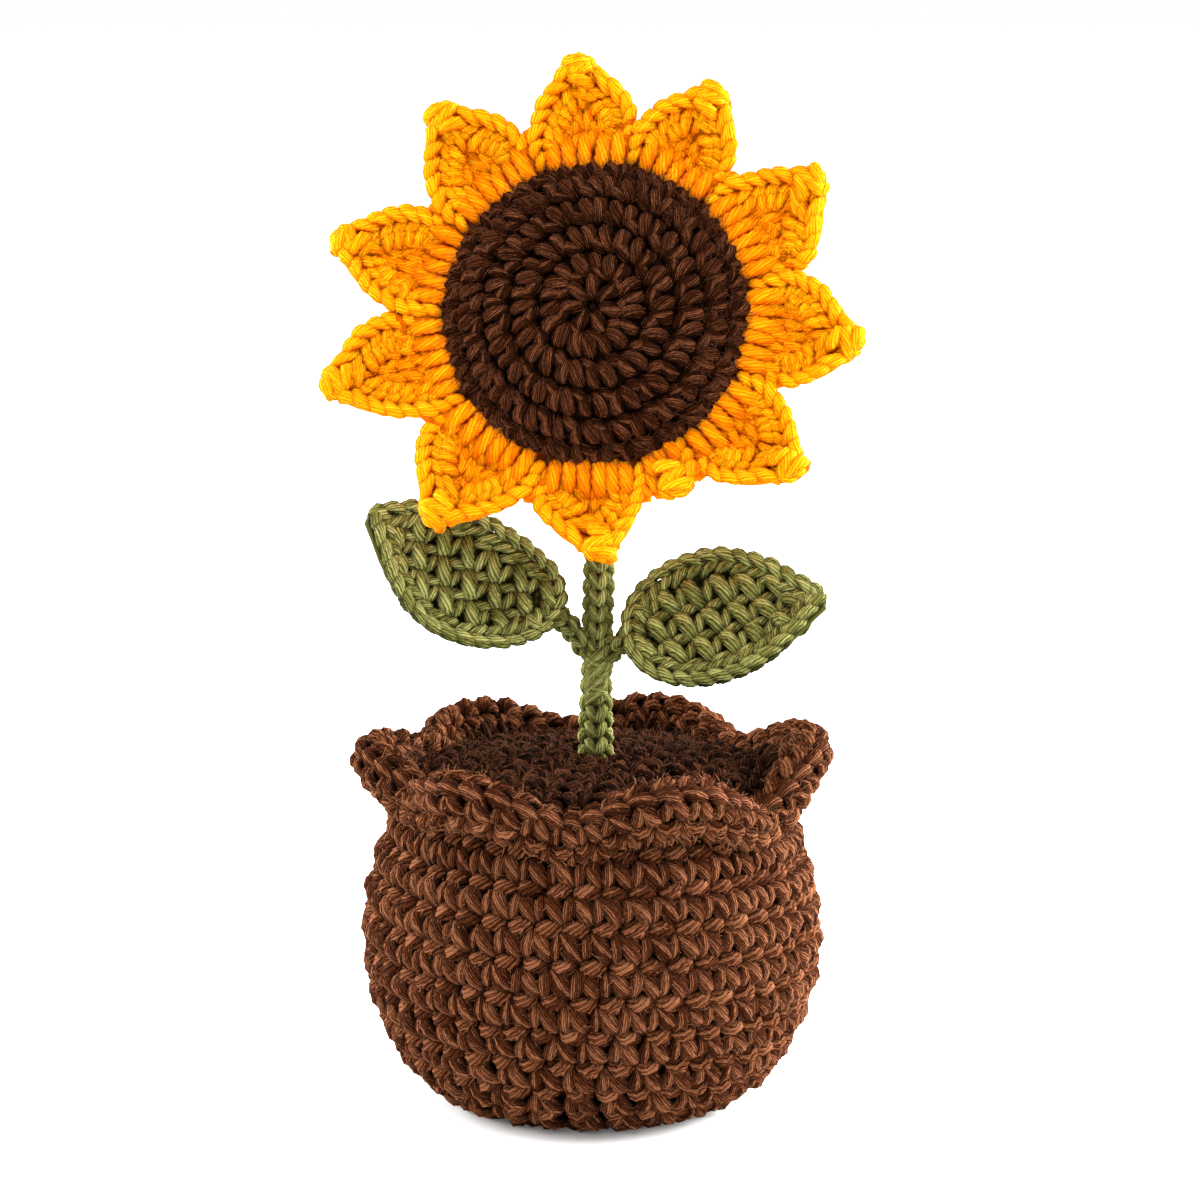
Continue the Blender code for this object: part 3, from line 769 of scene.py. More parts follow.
# how far a place is into its lobe, and the heights of the lobe and of its dip
def lobeAt(azimuth):
    degrees = azimuth % 360
    lobes = [*ruffle["lobes"], (ruffle["lobes"][0][0] + 360, *ruffle["lobes"][0][1:])]
    if degrees < lobes[0][0]:
        degrees += 360
    for (first, firstHeight, dip), (after, afterHeight, _) in zip(lobes, lobes[1:]):
        if degrees <= after:
            way = (degrees - first) / (after - first)
            share = ((1 + math.cos(math.tau * way)) / 2) ** ruffle["fullness"]
            return share, firstHeight if way < 0.5 else afterHeight, dip


# the band's oval outside: turn 0 faces out, 90 up, 180 in
def rimSurface(azimuth, turn, lift):
    share, height, dip = lobeAt(azimuth)
    spin, lean = math.radians(turn), math.radians(mix(*ruffle["flare"], share))
    high = math.sin(spin) * (mix(*ruffle["halfHeight"], share) - ruffle["sunk"] + lift)
    out = math.cos(spin) * (mix(*ruffle["halfThickness"], share) - ruffle["sunk"] + lift)
    radius = mix(*ruffle["rimRadius"], share) + out * math.cos(lean) + high * math.sin(lean)
    return polar(azimuth, radius, mix(dip, height, share) + high * math.cos(lean) - out * math.sin(lean))


# from the soil (up 0) to the inside of the band (up 1)
def seatSurface(azimuth, up, lift):
    band = rimSurface(azimuth, ruffle["seatTop"], 0)
    return polar(azimuth, *ruffle["seat"]).lerp(band, up) + Vector((0, 0, lift - ruffle["seatSunk"]))


def makeRuffle():
    builder = bmesh.new()
    turns = range(0, 360, 30)
    rings = [[rimSurface(azimuth, turn, -ruffle["core"]) for turn in turns] for azimuth in range(0, 360, 3)]
    addTube(builder, rings, joined=True)
    finished("ruffleCore", builder, finish["pot gap shade"], "pot_yarn", ["pot_ruffle"])

    strands = []
    width = 360 / ruffle["posts"]
    for high, low, grow in ruffle["rows"]:
        shift = jitter(ruffle["shift"])
        for i in range(ruffle["posts"]):
            strands += crochet("wall", rimSurface, width * (i + shift), low, width, high - low, grow)
    seat = []
    for i in range(ruffle["posts"]):
        seat += crochet("wall", seatSurface, width * i, 0.0, width, 1.0, ruffle["seatScale"])
    loops = []
    step = 360 / ruffle["loops"]
    for i in range(ruffle["loops"]):
        for leg, row in ruffle["legs"]:
            moved = loose(leg, *ruffle["slack"])
            bends = [(step * (i + along), turn, lift) for along, turn, lift in moved]
            loops.append(laid(rimSurface, bends, uneven(ruffle["radius"], 0.06), row=row))
    spinYarn("ruffleWalls", strands, finish["pot yarn"], "pot_yarn")
    spinYarn("ruffleRim", loops, finish["pot yarn"], "pot_yarn")
    spinYarn("ruffleSeat", seat, finish["soil yarn"], "soil_yarn")
    fluff("ruffleFluff", strands + loops, *ruffle["fluff"], finish["brown fibre"], "pot_yarn")
    fluff("seatFluff", seat, *ruffle["seatFluff"], finish["dark fibre"], "soil_yarn")
    print("ruffle:", len(strands + loops + seat), "strands")


makeRuffle()


# soil: a low dome of dark rounds round the stem, with much fluff

soil = {
    "radius": 26.6,
    "edgeTop": 54.6,
    "crown": 56.6,
    "thickness": 3.4,
    "stemX": 0.6,
    "sunk": 1.6,
    "core": 2.4,
    "coreRadius": 26.4,
    "segments": 40,
    "parts": "wall",
    "stitches": (7, 12, 18, 24, 30),
    "rise": 4.6,
    "start": 3.0,
    "end": 23.5,
    "spiral": 0,
    "seam": 80,
    "lean": 0.3,
    "phase": 0.0,
    "scale": 0.86,
    "fluff": (1400, 1.9),
}


def soilHeight(radius):
    return mix(soil["crown"], soil["edgeTop"], (radius / soil["radius"]) ** 2)


def soilSurface(turn, radius, lift):
    way = math.radians(-turn)
    shift = soil["stemX"] * max(0.0, 1 - radius / soil["radius"])
    height = soilHeight(radius) - soil["sunk"] + lift
    return Vector((radius * math.cos(way) + shift, radius * math.sin(way), height))


def makeSoil():
    low = soil["edgeTop"] - soil["thickness"]
    profile = [(radius, soilHeight(radius) - soil["core"]) for radius in (0, *range(4, 27, 2))]
    profile += [(soil["coreRadius"], low), (0.0, low)]
    turned("soilCore", profile, soil["segments"], finish["soil gap shade"], "soil_yarn", ["soil"])
    strands = crochetRounds(soilSurface, soil, lambda length: length)
    spinYarn("soilRounds", strands, finish["soil yarn"], "soil_yarn")
    fluff("soilFluff", strands, *soil["fluff"], finish["dark fibre"], "soil_yarn")
    print("soil:", len(strands), "strands")


makeSoil()


# stem and stalks: cords of chains, with wraps where the stalks leave the stem

stem = {
    "foot": 54.2,
    "top": 126.0,
    "x": (0.6, 2.0),  # at the soil's crown and at the height of the head
    "head": 127.8,
    "radius": (2.9, 2.5),  # below the fork and above it
    "fork": (67.0, 73.0),
    "sunk": 0.85,
    "core": 0.55,
    "pitch": 2.7,
    "columns": 4,
    "strand": 0.98,
    "vee": ((0.02, 0.0, -1.0), (0.10, 0.30, 0.75), (0.40, 0.90, 0.75), (0.52, 1.10, -1.0)),
    "slack": (4, 0.10, 0.10),
    "wraps": 7,  # over the fork, sloping by turns
    "wrapLean": 2.4,
    "wrap": ((-105, -1.0, -0.6), (-35, -0.4, 2.1), (35, 0.4, 2.1), (105, 1.0, -0.6)),
    "wrapSlack": (3, 0.2, 0.1),
    "wrapRadius": 1.2,
}
stalk = {
    "radius": 1.8,
    "bend": 2.5,  # before the leaf's base
    "overlap": 1.5,  # into the leaf
    "sunk": 0.7,
    "core": 0.5,
    "pitch": 2.6,
    "columns": 3,
    "strand": 0.86,
}


def stemX(height):
    return mix(*stem["x"], ease(soil["crown"], stem["head"], height))


def stemSurface(turn, height, lift):
    way = math.radians(turn)
    thinner = ease(soil["crown"], stem["fork"][1], height)
    radius = mix(*stem["radius"], thinner) - stem["sunk"] + lift
    return Vector((stemX(height) + radius * math.cos(way), radius * math.sin(way), height))


# columns of Vs up a cord: surface(turn, along, lift)
def cordColumns(surface, start, end, look, facing=270):
    strands = []
    width, pitch = 360 / look["columns"], look["pitch"]
    count = round((end - start) / pitch)
    for c in range(look["columns"]):
        for i in range(count):
            s = start + pitch * (i + 0.5 * (c % 2))
            for side in (-1, 1):
                bends = [
                    (facing + width * c + side * width * out, s + pitch * along, lift)
                    for out, along, lift in stem["vee"]
                ]
                bends = loose(bends, *stem["slack"])
                strands.append(laid(surface, bends, uneven(look["strand"]), row=1 + (side > 0)))
    return strands


def cordCore(name, surface, start, end, lift, nodes):
    builder = bmesh.new()
    places = [mix(start, end, k / 24) for k in range(25)]
    addTube(builder, [[surface(turn, along, lift) for turn in range(0, 360, 36)] for along in places])
    finished(name, builder, finish["leaf gap shade"], "leaf_yarn", nodes)


leaves = {
    "left": {
        "base": (-5.2, -1.0, 79.5), "tip": (-35.2, -6.0, 97.6), "tilt": 30,
        "width": 21.4, "bow": 2.2, "fullest": 0.50, "cup": 4.0, "fork": 71.2,
    },
    "right": {
        "base": (5.0, -2.6, 75.7), "tip": (37.3, -6.5, 84.0), "tilt": 34,
        "width": 22.8, "bow": 0.6, "fullest": 0.44, "cup": 3.8, "fork": 70.0,
    },
}
blade = {
    "baseRoundness": 2.3,
    "tipRoundness": 2.0,
    "knob": 2.2,
    "tipStart": 0.93,
    "thickness": 2.4,
    "rim": 2.8,
    "sheet": {"reachA": (0.03, 0.97), "reachB": (-0.82, 0.82), "lift": -1.5, "thickness": 0.8},
    "rows": (-0.68, -0.25, 0.18),  # where the rows of stitches start, in shares of the half width
    "rise": 0.44,
    "rowStart": 0.06,
    "rowLength": 0.78,
    "stitches": 6,
    "scale": 0.86,
    "chain": {
        "step": 3.0, "middle": 1.95, "wide": 1.10, "radii": (1.10, 1.05),
        "high": 1.4, "low": -1.5, "slack": (0.15, 0.12, 0.15),
    },
}


def stalkSurface(leaf):
    along = (Vector(leaf["tip"]) - Vector(leaf["base"])).normalized()
    start = Vector((stemX(leaf["fork"]), 0.0, leaf["fork"]))
    end = Vector(leaf["base"]) + along * stalk["overlap"]
    bend = Vector(leaf["base"]) - along * stalk["bend"]

    def surface(turn, share, lift):
        centre = start.lerp(bend, share).lerp(bend.lerp(end, share), share)
        heading = (bend - start).lerp(end - bend, share).normalized()
        side = heading.cross(Vector((0, 1, 0))).normalized()
        front = heading.cross(side)
        way = math.radians(turn)
        spoke = front * math.cos(way) + side * math.sin(way)
        return centre + spoke * (stalk["radius"] - stalk["sunk"] + lift)

    length = (bend - start).length + (end - bend).length
    return surface, length


def makeStem():
    cordCore("stemCore", stemSurface, stem["foot"], stem["top"], -stem["core"], ["stem"])
    strands = cordColumns(stemSurface, stem["foot"], stem["top"] - 3, stem)
    for k in range(stem["wraps"]):
        z = mix(*stem["fork"], k / (stem["wraps"] - 1))
        lean = stem["wrapLean"] * (-1 if k % 2 else 1)
        for front in (270, 90):
            bends = [(front + turn, z + lean * share, lift) for turn, share, lift in stem["wrap"]]
            bends = loose(bends, *stem["wrapSlack"])
            strands.append(laid(stemSurface, bends, stem["wrapRadius"], row=1))
    for side, leaf in leaves.items():
        surface, length = stalkSurface(leaf)
        cordCore("stalkCore" + side.title(), surface, 0.0, 1.0, -stalk["core"], ["leaf_stalk_" + side])

        def stretched(turn, along, lift, surface=surface, length=length):
            return surface(turn, along / length, lift)

        strands += cordColumns(stretched, 0.5, length, stalk, facing=0)
    spinYarn("stemYarn", strands, finish["leaf yarn"], "leaf_yarn")
    print("stem:", len(strands), "strands")


makeStem()


# leaves: cupped blades with rows of stitches on both faces and chains round the rim

def leafPlace(leaf):
    base, tip = Vector(leaf["base"]), Vector(leaf["tip"])
    along = (tip - base).normalized()
    tilt = math.radians(leaf["tilt"])
    facing = Vector((0.0, -math.cos(tilt), math.sin(tilt)))
    out = (facing - along * facing.dot(along)).normalized()
    turn = Matrix((along, out.cross(along), out)).transposed().to_4x4()
    return Matrix.Translation(base) @ turn, (tip - base).length


def leafHalf(leaf, share):
    full, half = leaf["fullest"], leaf["width"] / 2
    if share < full:
        return half * math.sqrt(max(0.0, 1 - ((full - share) / full) ** blade["baseRoundness"]))
    wide = half * (1 - ((share - full) / (1 - full)) ** blade["tipRoundness"])
    if share < blade["tipStart"]:
        return wide
    past = (share - blade["tipStart"]) / (1 - blade["tipStart"])
    return max(wide, blade["knob"] * math.sqrt(max(0.0, 1 - past**2)))


def leafCup(leaf, share):
    return leaf["cup"] * ease(0.0, 0.35, share) * (1 - 0.5 * ease(0.7, 1, share))


# the blade's top (face 1) or underside (face -1): share of the length, -1 to 1 across
def leafSurface(leaf, face):
    place, length = leafPlace(leaf)

    def surface(share, across, lift):
        bow = leaf["bow"] * math.sin(math.pi * min(max(share, 0), 1))
        height = leafCup(leaf, share) * (across * across - 1)
        height += face * (mix(blade["thickness"], blade["rim"], abs(across) ** 3) / 2 + lift)
        return place @ Vector((share * length, bow + across * leafHalf(leaf, share), height))

    return surface


def leafRim(leaf, face):
    place, length = leafPlace(leaf)
    points, heights = [], []
    shares = [0.5 - 0.5 * math.cos(math.pi * k / 60) for k in range(61)]
    for across in (-1, 1):
        for share in shares if across < 0 else shares[-2::-1]:
            half = leafHalf(leaf, share)
            bow = leaf["bow"] * math.sin(math.pi * share)
            cup = leafCup(leaf, share)
            points.append((share * length, bow + across * half))
            heights.append((-cup + face * blade["rim"] / 2, cup, max(half, 1.0)))
    return rimWalk(points, heights, place)


# the same walk for the strands of the underside, tucked in behind those in front
def facingDown(surface):
    return lambda a, b, lift: surface(a, b + 0.7, 0.9 - lift)


def makeLeaves():
    fronts, backs = [], []
    builder = bmesh.new()
    for leaf in leaves.values():
        top, under = leafSurface(leaf, 1), leafSurface(leaf, -1)
        addSheet(builder, top, **blade["sheet"])
        for face, strands in ((top, fronts), (under, backs)):
            walk, around = leafRim(leaf, 1 if face is top else -1)
            if face is under:
                walk = facingDown(walk)
            strands += chainOf(walk, 0.0, around, blade["chain"])
            width = blade["rowLength"] / blade["stitches"]
            for k, low in enumerate(blade["rows"]):
                for i in range(blade["stitches"]):
                    share = blade["rowStart"] + width * (i + 0.5 * (k % 2))
                    strands += crochet("blade", face, share, low, width, blade["rise"], blade["scale"])
    finished("leafCores", builder, finish["leaf gap shade"], "leaf_yarn", ["leaf_left", "leaf_right"])
    spinYarn("leafFronts", fronts, finish["leaf yarn"], "leaf_yarn")
    spinYarn("leafBacks", backs, finish["leaf yarn"], "leaf_yarn")
    print("leaves:", len(fronts) + len(backs), "strands")


makeLeaves()


# flower head: a domed disc of rounds, a flat back and a ring of petals

head = {
    "centre": (0.8, -3.0, 127.8),
    "upTilt": 18,
    "leftTurn": 5,
    "radius": 23.8,
    "height": 10.5,
    "edge": 1.6,  # height of the dome's edge
    "roundness": 2.4,
    "backDepth": 6.3,
    "segments": 44,
}
disc = {
    "sunk": 1.6,
    "core": 2.3,
    "coreFoot": (22.4, 0.1),
    "coreShoulder": 0.93,
    "rosette": {"count": 7, "inner": 1.3, "outer": 4.8, "radius": 1.3, "row": 1},
    "parts": "dome",
    "stitches": (9, 14, 20, 26, 30),
    "rise": 4.75,
    "start": 4.4,
    "end": 25.0,
    "spiral": 0,
    "seam": 200,
    "lean": 0.38,
    "phase": 0.0,
    "scale": 0.92,
    "fluff": (1800, 1.6),
    "edgeFluff": (900, 2.8),
}
backing = {
    "sunk": 1.4,
    "core": ((0.0, -0.2), (20.0, -0.2), (20.0, -3.9), (21.4, -4.1), (21.4, -5.1), (0.0, -5.1)),
    "rosette": {"count": 7, "inner": 0.4, "outer": 5.0, "radius": 1.4},
    "parts": "wall",
    "stitches": (10, 15, 21, 27),
    "rise": 4.55,
    "start": 4.3,
    "end": 19.5,
    "spiral": 0,
    "seam": 0,
    "lean": 0.3,
    "phase": 0.0,
    "scale": 0.86,
}
band = {"radius": 20.4, "top": 2.4, "rise": 3.5, "stitches": 29, "scale": 0.8}  # round the backing's edge


def headPlace():
    turn, tilt = math.radians(head["leftTurn"]), math.radians(head["upTilt"])
    outwards = Vector((-math.sin(turn), -math.cos(turn), 0.0))
    axis = outwards * math.cos(tilt) + Vector((0, 0, 1)) * math.sin(tilt)
    right = Vector((math.cos(turn), -math.sin(turn), 0.0))
    spin = Matrix((right, axis.cross(right), axis)).transposed().to_4x4()
    return Matrix.Translation(Vector(head["centre"])) @ spin


headFrame = headPlace()


def domeHeight(radius):
    share = min(abs(radius) / head["radius"], 1.0)
    return mix(head["edge"], head["height"], math.sqrt(1 - share ** head["roundness"]))


# the dome's outline, walked from its middle over the edge, as for the pot
domePoints = [(r, domeHeight(r)) for r in np.linspace(0, head["radius"], 60)]
domePoints += [(head["radius"], 1.0), (head["radius"] - 0.6, 0.2)]
domeOutline = smoothOutline(domePoints, 2.0)


def discSurface(turn, length, lift):
    return headFrame @ polar(90 + turn, *offOutline(domeOutline, length, disc["sunk"] - lift))


def backSurface(turn, radius, lift):
    return headFrame @ polar(90 + turn, radius, -head["backDepth"] + backing["sunk"] - lift)


def bandSurface(turn, down, lift):
    return headFrame @ polar(90 + turn, band["radius"] + lift, -down)


def makeDisc():
    inMetres = Matrix.Translation(headFrame.translation * mm) @ headFrame.to_3x3().to_4x4()
    profile = [(0.0, disc["coreFoot"][1]), disc["coreFoot"]]
    for share in np.linspace(disc["coreShoulder"], 0, 16):
        radius = head["radius"] * share
        profile.append((radius, domeHeight(radius) - disc["core"]))
    # the disc's and back's dark fill: painted shade for the gaps between stitches
    gapShade, segments = finish["disc gap shade"], head["segments"]
    turned("discCore", profile, segments, gapShade, "disc_yarn", ["flower_disc"], inMetres)
    strands = rosette(discSurface, **disc["rosette"])
    strands += crochetRounds(discSurface, disc, lambda length: offOutline(domeOutline, length)[0])
    spinYarn("discRounds", strands, finish["disc yarn"], "disc_yarn")
    outer, last = strands[len(strands) // 2:], strands[-3 * disc["stitches"][-1]:]
    fluff("discFluff", outer, *disc["fluff"], finish["dark fibre"], "disc_yarn")
    fluff("edgeFluff", last, *disc["edgeFluff"], finish["dark fibre"], "disc_yarn")

    turned("backCore", backing["core"], segments, gapShade, "disc_yarn", ["flower_back"], inMetres)
    behind = rosette(backSurface, **backing["rosette"])
    behind += crochetRounds(backSurface, backing, lambda length: length)
    width = 360 / band["stitches"]
    for i in range(band["stitches"]):
        behind += crochet("wall", bandSurface, width * i, band["top"], width, band["rise"], band["scale"])
    spinYarn("backRounds", behind, finish["disc yarn"], "disc_yarn")
    print("disc:", len(strands) + len(behind), "strands")


makeDisc()


# angles run anticlockwise from the right, seen from the front
petals = {
    "notches": (  # (angle, radius), the first to the right of the first tip
        (78.3, 32.8), (111.9, 31.6), (147.3, 31.8), (179.9, 33.8), (213.1, 32.3), (251.5, 31.8),
        (287.3, 30.8), (303.5, 31.8), (337.3, 32.6), (371.3, 34.4), (405.9, 31.4),
    ),
    "tips": (  # (angle, radius, forward reach, radius of the knob)
        (95.4, 42.4, 2.0, 3.4), (128.8, 42.8, 3.0, 3.4), (164.3, 44.2, 2.0, 3.4), (196.0, 45.2, 3.0, 3.4),
        (233.4, 43.0, 4.0, 3.4), (272.9, 40.2, 3.5, 3.4), (296.1, 33.6, 6.0, 4.0), (322.3, 42.2, 3.5, 3.4),
        (354.2, 43.0, 2.0, 3.4), (392.0, 42.6, 3.0, 3.4), (423.0, 41.6, 3.5, 3.4),
    ),
    "root": 20.6,  # radius where they start, under the disc
    "rootDepth": 3.1,  # how thick they are there, in the middle and at the border
    "middle": 2.4,
    "border": 3.6,
    "rimDepth": 2.4,  # from the chain in front down to the one behind it
    "rimFoot": 0.5,  # how far inside the disc's edge the chains start
    "rimRise": 5.2,  # of the border over the middle
    "rootRise": 1.4,
    "crease": 1.2,  # room in a notch for the yarn of both borders
    "taper": 2.3,
    "neck": 0.95,  # half-width where the knob starts, as a share of its radius
    "free": 5,  # how far past the disc they have their full cup
    "tipRise": 1.0,
    "lap": 1.3,  # how far a petal's left border lies over its neighbour
    "lapReach": (1.0, 4.5),  # how far inside the notch it starts and is full
    "lapLift": 0.8,
    "sheetStart": 21.0,
    "sheetEnd": 2.6,  # short of the tip
    "sheet": {"reachB": (-0.78, 0.78), "lift": -1.3, "thickness": 0.9},
    "rootSheet": {
        "reachA": (21.0, 30.0), "reachB": (-1.03, 1.03), "lift": -1.7, "thickness": 0.9, "segments": (10, 6),
    },
    "chain": {
        "step": 2.9, "middle": 2.45, "wide": 1.25, "radii": (1.14, 1.08),
        "high": 1.1, "low": -1.6, "slack": (0.15, 0.12, 0.15),
    },
    "post": {
        "step": 3.0, "middle": 0.0, "wide": 1.0, "radii": (1.16, 1.08),
        "high": 0.5, "low": -1.5, "slack": (0.40, 0.25, 0.45),
    },
    "postFoot": 22,
    "postStart": 4.0,  # past the foot, in front
    "postEnds": (5.0, 6.0),  # past the disc at the sides, and short of the tip in the middle
    "rib": ((22.2, -1.4), (24.0, 2.6), (27.0, 2.0), (29.8, -1.6)),  # (radius, lift)
    "ribWidth": 3.0,
    "ribRadius": 1.46,
    "slant": {
        "steps": ((0.0, 3.8, -1.2), (0.25, 4.1, 1.6), (0.75, 5.3, 1.6), (1.0, 6.2, -1.4)),
        "step": 2.5,
        "radius": 1.12,
    },
    "slantEnds": (4.0, 5.0, 4.0, 6.0),  # bare lengths at the root and the tip, up one side and down the other
    "wraps": ((-1.5, 0.9), (0.1, -0.7), (1.3, 0.8)),  # (how far past the middle of the tip, slant)
    "wrap": ((-1.0, -1.0, -1.4), (-0.5, -0.8, 2.7), (0.5, 0.8, 2.7), (1.0, 1.0, -1.4)),
    "wrapReach": (2.4, 2.3),  # half-width of the widest, and how far past the middle they could go
    "wrapRadius": 1.25,
}
petalCount = len(petals["tips"])


# centre angle and the two half-widths of a petal at a radius
def petalSection(index, radius):
    rightAngle, rightRadius = petals["notches"][index]
    leftAngle, leftRadius = petals["notches"][(index + 1) % petalCount]
    if leftAngle < rightAngle:
        leftAngle += 360
    tipAngle, tipRadius, _, knob = petals["tips"][index]
    share = (radius - petals["root"]) / (tipRadius - petals["root"])
    angle = math.radians(mix((leftAngle + rightAngle) / 2, tipAngle, share))
    knobCentre = tipRadius - knob
    halves = []
    for notchAngle, notchRadius in ((rightAngle, rightRadius), (leftAngle, leftRadius)):
        swing = abs(math.radians(notchAngle) - angle)
        spread = math.tan(swing)
        notch = notchRadius * math.cos(swing) - petals["crease"]
        wedge = min(radius, notch) * spread
        taper = min(max((radius - notch) / (knobCentre - notch), 0.0), 1.0)
        width = mix(wedge, knob * petals["neck"], taper ** petals["taper"])
        if radius > knobCentre:
            width = knob * math.sqrt(max(0.0, 1 - ((radius - knobCentre) / knob) ** 2))
        halves.append(min(width, radius * spread))
    return angle, share, halves[0], halves[1]


def petalLevels(index, radius, share):
    free = ease(head["radius"], head["radius"] + petals["free"], radius)
    tip = ease(0.75, 1.0, share)
    level = petals["tips"][index][2] * ease(0.35, 1.0, share) ** 1.5
    level += petals["tipRise"] * tip + petals["rootRise"] * (1 - free)
    return level, petals["rimRise"] * free * (1 - tip), free, tip


def petalSurface(index, face):
    def surface(radius, across, lift):
        angle, share, right, left = petalSection(index, radius)
        level, rise, free, tip = petalLevels(index, radius, share)
        height = level + rise * across * across
        if face < 0:
            middle = mix(petals["rootDepth"], petals["middle"], free)
            border = mix(petals["rootDepth"], petals["border"], free)
            height -= mix(middle, border, max(across**4, tip))
        out = Vector((math.cos(angle), math.sin(angle), 0))
        side = Vector((-math.sin(angle), math.cos(angle), 0))
        spot = out * radius + side * across * (left if across > 0 else right)
        return headFrame @ (spot + Vector((0, 0, height + face * lift)))

    return surface


def petalRim(index, face):
    tipRadius = petals["tips"][index][1]
    points, heights = [], []
    sweep = [math.sin(math.pi / 2 * k / 40) for k in range(41)]
    for across in (-1, 1):
        notch = petals["notches"][(index + (across > 0)) % petalCount][1]
        foot = head["radius"] - petals["rimFoot"]
        start, full = petals["lapReach"]
        for way in sweep if across < 0 else sweep[-2::-1]:
            radius = mix(foot, tipRadius, way)
            angle, share, right, left = petalSection(index, radius)
            level, rise, free, _ = petalLevels(index, radius, share)
            half = left if across > 0 else right
            lap = across * ease(notch - start, notch - full, radius)
            half += petals["lap"] * max(lap, 0.0)
            x = radius * math.cos(angle) - across * half * math.sin(angle)
            y = radius * math.sin(angle) + across * half * math.cos(angle)
            drop = mix(petals["rootDepth"], petals["rimDepth"], free) if face < 0 else 0
            points.append((x, y))
            heights.append((level - drop + face * petals["lapLift"] * lap, rise, max(half, 1.5)))
    return rimWalk(points, heights, headFrame)


# strands that slope off the border towards the middle of a petal
def slantsOf(surface, start, end, look):
    strands = []
    count = max(1, round((end - start) / look["step"]))
    step = (end - start) / count
    for i in range(count):
        bends = [(start + step * (i + along), inset, lift) for along, inset, lift in look["steps"]]
        strands.append(laid(surface, loose(bends, 0.2, 0.2, 0.2), uneven(look["radius"]), row=3))
    return strands


# wraps of yarn over a petal's tip
def tipWraps(index, face):
    angle, tipRadius, _, knob = petals["tips"][index]
    way = math.radians(angle)
    out = Vector((math.cos(way), math.sin(way), 0))
    side = Vector((-math.sin(way), math.cos(way), 0))
    level = petalLevels(index, tipRadius, 1.0)[0] - (petals["rimDepth"] if face < 0 else 0)

    def surface(along, across, lift):
        spot = out * (tipRadius - knob + along) + side * across
        return headFrame @ (spot + Vector((0, 0, level + face * lift)))

    strands = []
    half, reach = petals["wrapReach"]
    for past, slant in petals["wraps"]:
        wide = half * math.sqrt(1 - (past / reach) ** 2)
        bends = [(past + slant * along, wide * across, lift) for along, across, lift in petals["wrap"]]
        strands.append(laid(surface, loose(bends, 0.3, 0.3, 0.2), petals["wrapRadius"], row=3))
    return strands


def makePetals():
    borders, posts, backs = [], [], []
    builder = bmesh.new()
    foot = petals["postFoot"]
    bare = petals["slantEnds"]
    for index in range(petalCount):
        tipRadius = petals["tips"][index][1]
        top, under = petalSurface(index, 1), petalSurface(index, -1)
        reach = (petals["sheetStart"], tipRadius - petals["sheetEnd"])
        addSheet(builder, top, reach, **petals["sheet"])
        addSheet(builder, top, **petals["rootSheet"])
        for face, strands in ((1, borders), (-1, backs)):
            walk, around = petalRim(index, face)
            places = [walk(s, 0, 0) for s in np.arange(0, around, 0.5)]
            far = [(headFrame.inverted() @ place).xy.length for place in places]
            walk = walk if face > 0 else facingDown(walk)
            peak = 0.5 * far.index(max(far))
            strands += chainOf(walk, 0.0, peak, petals["chain"])
            strands += chainOf(walk, peak, around, petals["chain"])
            strands += tipWraps(index, face)
            if face > 0:
                strands += slantsOf(walk, bare[0], peak - bare[1], petals["slant"])
                strands += slantsOf(walk, peak + bare[2], around - bare[3], petals["slant"])

        _, _, right, left = petalSection(index, 27)
        count = max(3, round((right + left) / petals["ribWidth"]))
        sideEnd, middleEnd = head["radius"] + petals["postEnds"][0], tipRadius - petals["postEnds"][1]
        for k in range(count):
            across = mix(-0.85, 0.85, (k + 0.5) / count)
            end = mix(sideEnd, middleEnd, (1 - abs(across)) ** 0.6)
            for surface, start, strands in ((top, petals["postStart"], posts), (under, 0.0, backs)):

                def column(along, offset, lift, across=across, surface=surface):
                    _, _, right, left = petalSection(index, foot + 2 + along * 0.5)
                    half = left if across > 0 else right
                    return surface(foot + along, across * (1 - 0.03 * along) + offset / half, lift)

                strands += chainOf(column, start, end - foot, petals["post"])
            bends = loose([(radius, across, lift) for radius, lift in petals["rib"]], 1.0, 0.05, 0.4)
            posts.append(laid(top, bends, uneven(petals["ribRadius"]), row=3))

    names = [f"petal_{index + 1:02d}" for index in range(petalCount)]
    finished("petalCores", builder, finish["petal gap shade"], "petal_yarn", names)
    spinYarn("petalBorders", borders, finish["petal yarn"], "petal_yarn")
    spinYarn("petalPosts", posts, finish["petal recess shade yarn"], "petal_yarn")
    spinYarn("petalBacks", backs, finish["petal yarn"], "petal_yarn")
    print("petals:", len(borders) + len(posts) + len(backs), "strands")


makePetals()


# stuffing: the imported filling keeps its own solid

stuffing = plainFinish("fibre filling", (0.80, 0.79, 0.76), grain=400)
for item in bpy.data.objects:
    if item.name.startswith("pot_stuffing"):
        for place in item.material_slots:
            place.material = stuffing


# stage, light and camera

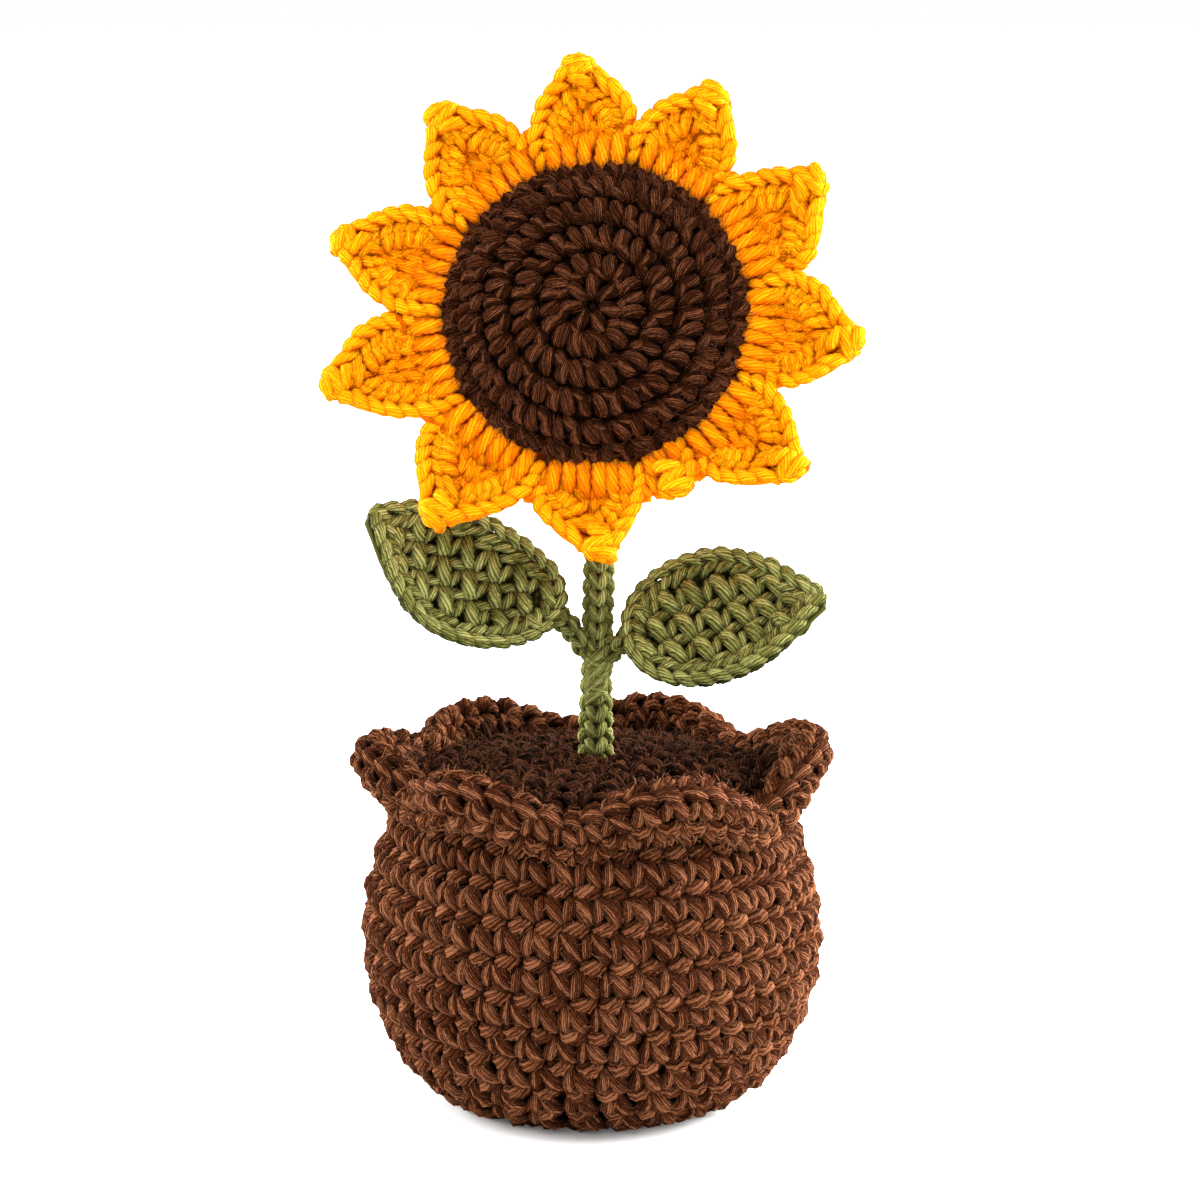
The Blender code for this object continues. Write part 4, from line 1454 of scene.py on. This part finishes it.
view = {"aim": (1.28, 0, 81.87), "distance": 750, "elevation": 10.3, "frameWidth": 192, "sensor": 36}
lamps = {
    "top light": {"place": (0.1, -0.45, 1.1), "size": 0.8, "power": 12},
    "front light": {"place": (0.2, -1.3, 0.75), "size": 0.7, "power": 3.5},
    "right light": {"place": (0.85, 0.35, 0.30), "size": 0.7, "power": 47},
    "left light": {"place": (-0.85, 0.30, 0.30), "size": 0.7, "power": 24},
}
lampAim = Vector((0, 0, 0.09))
paperLook = {
    "Base Color": (0.96, 0.96, 0.96, 1),
    "Roughness": 0.9,
    "Emission Color": (1, 1, 1, 1),
    "Emission Strength": 0.05,
}


def makeStage():
    builder = bmesh.new()
    bmesh.ops.create_grid(builder, x_segments=1, y_segments=1, size=3.0)
    mesh = bpy.data.meshes.new("floor")
    builder.to_mesh(mesh)
    builder.free()
    paper, _, _, dress = newMaterial("white paper")
    dress(paperLook)
    mesh.materials.append(paper)
    floor = added("floor", mesh)
    world = bpy.data.worlds.new("studio")
    world.use_nodes = True
    sky = world.node_tree.nodes["Background"].inputs
    sky["Color"].default_value = (1, 1, 1, 1)
    sky["Strength"].default_value = 1.0
    bpy.context.scene.world = world
    for name, look in lamps.items():
        lamp = bpy.data.lights.new(name, "AREA")
        lamp.size = look["size"]
        lamp.energy = look["power"]
        holder = added(name, lamp)
        holder.location = look["place"]
        aim = lampAim - Vector(look["place"])
        holder.rotation_euler = aim.to_track_quat("-Z", "Y").to_euler()


def makeCamera():
    tilt = math.radians(view["elevation"])
    camera = bpy.data.cameras.new("camera")
    camera.sensor_width = view["sensor"]
    camera.sensor_fit = "HORIZONTAL"
    camera.lens = view["sensor"] * view["distance"] / view["frameWidth"]
    camera.clip_start = 0.01
    holder = added("camera", camera)
    back = Vector((0, -math.cos(tilt), math.sin(tilt))) * view["distance"] * mm
    holder.location = Vector(view["aim"]) * mm + back
    holder.rotation_euler = (math.radians(90) - tilt, 0, 0)
    bpy.context.scene.camera = holder


makeStage()
makeCamera()
bpy.context.scene.view_settings.view_transform = "Standard"
bpy.context.view_layer.update()
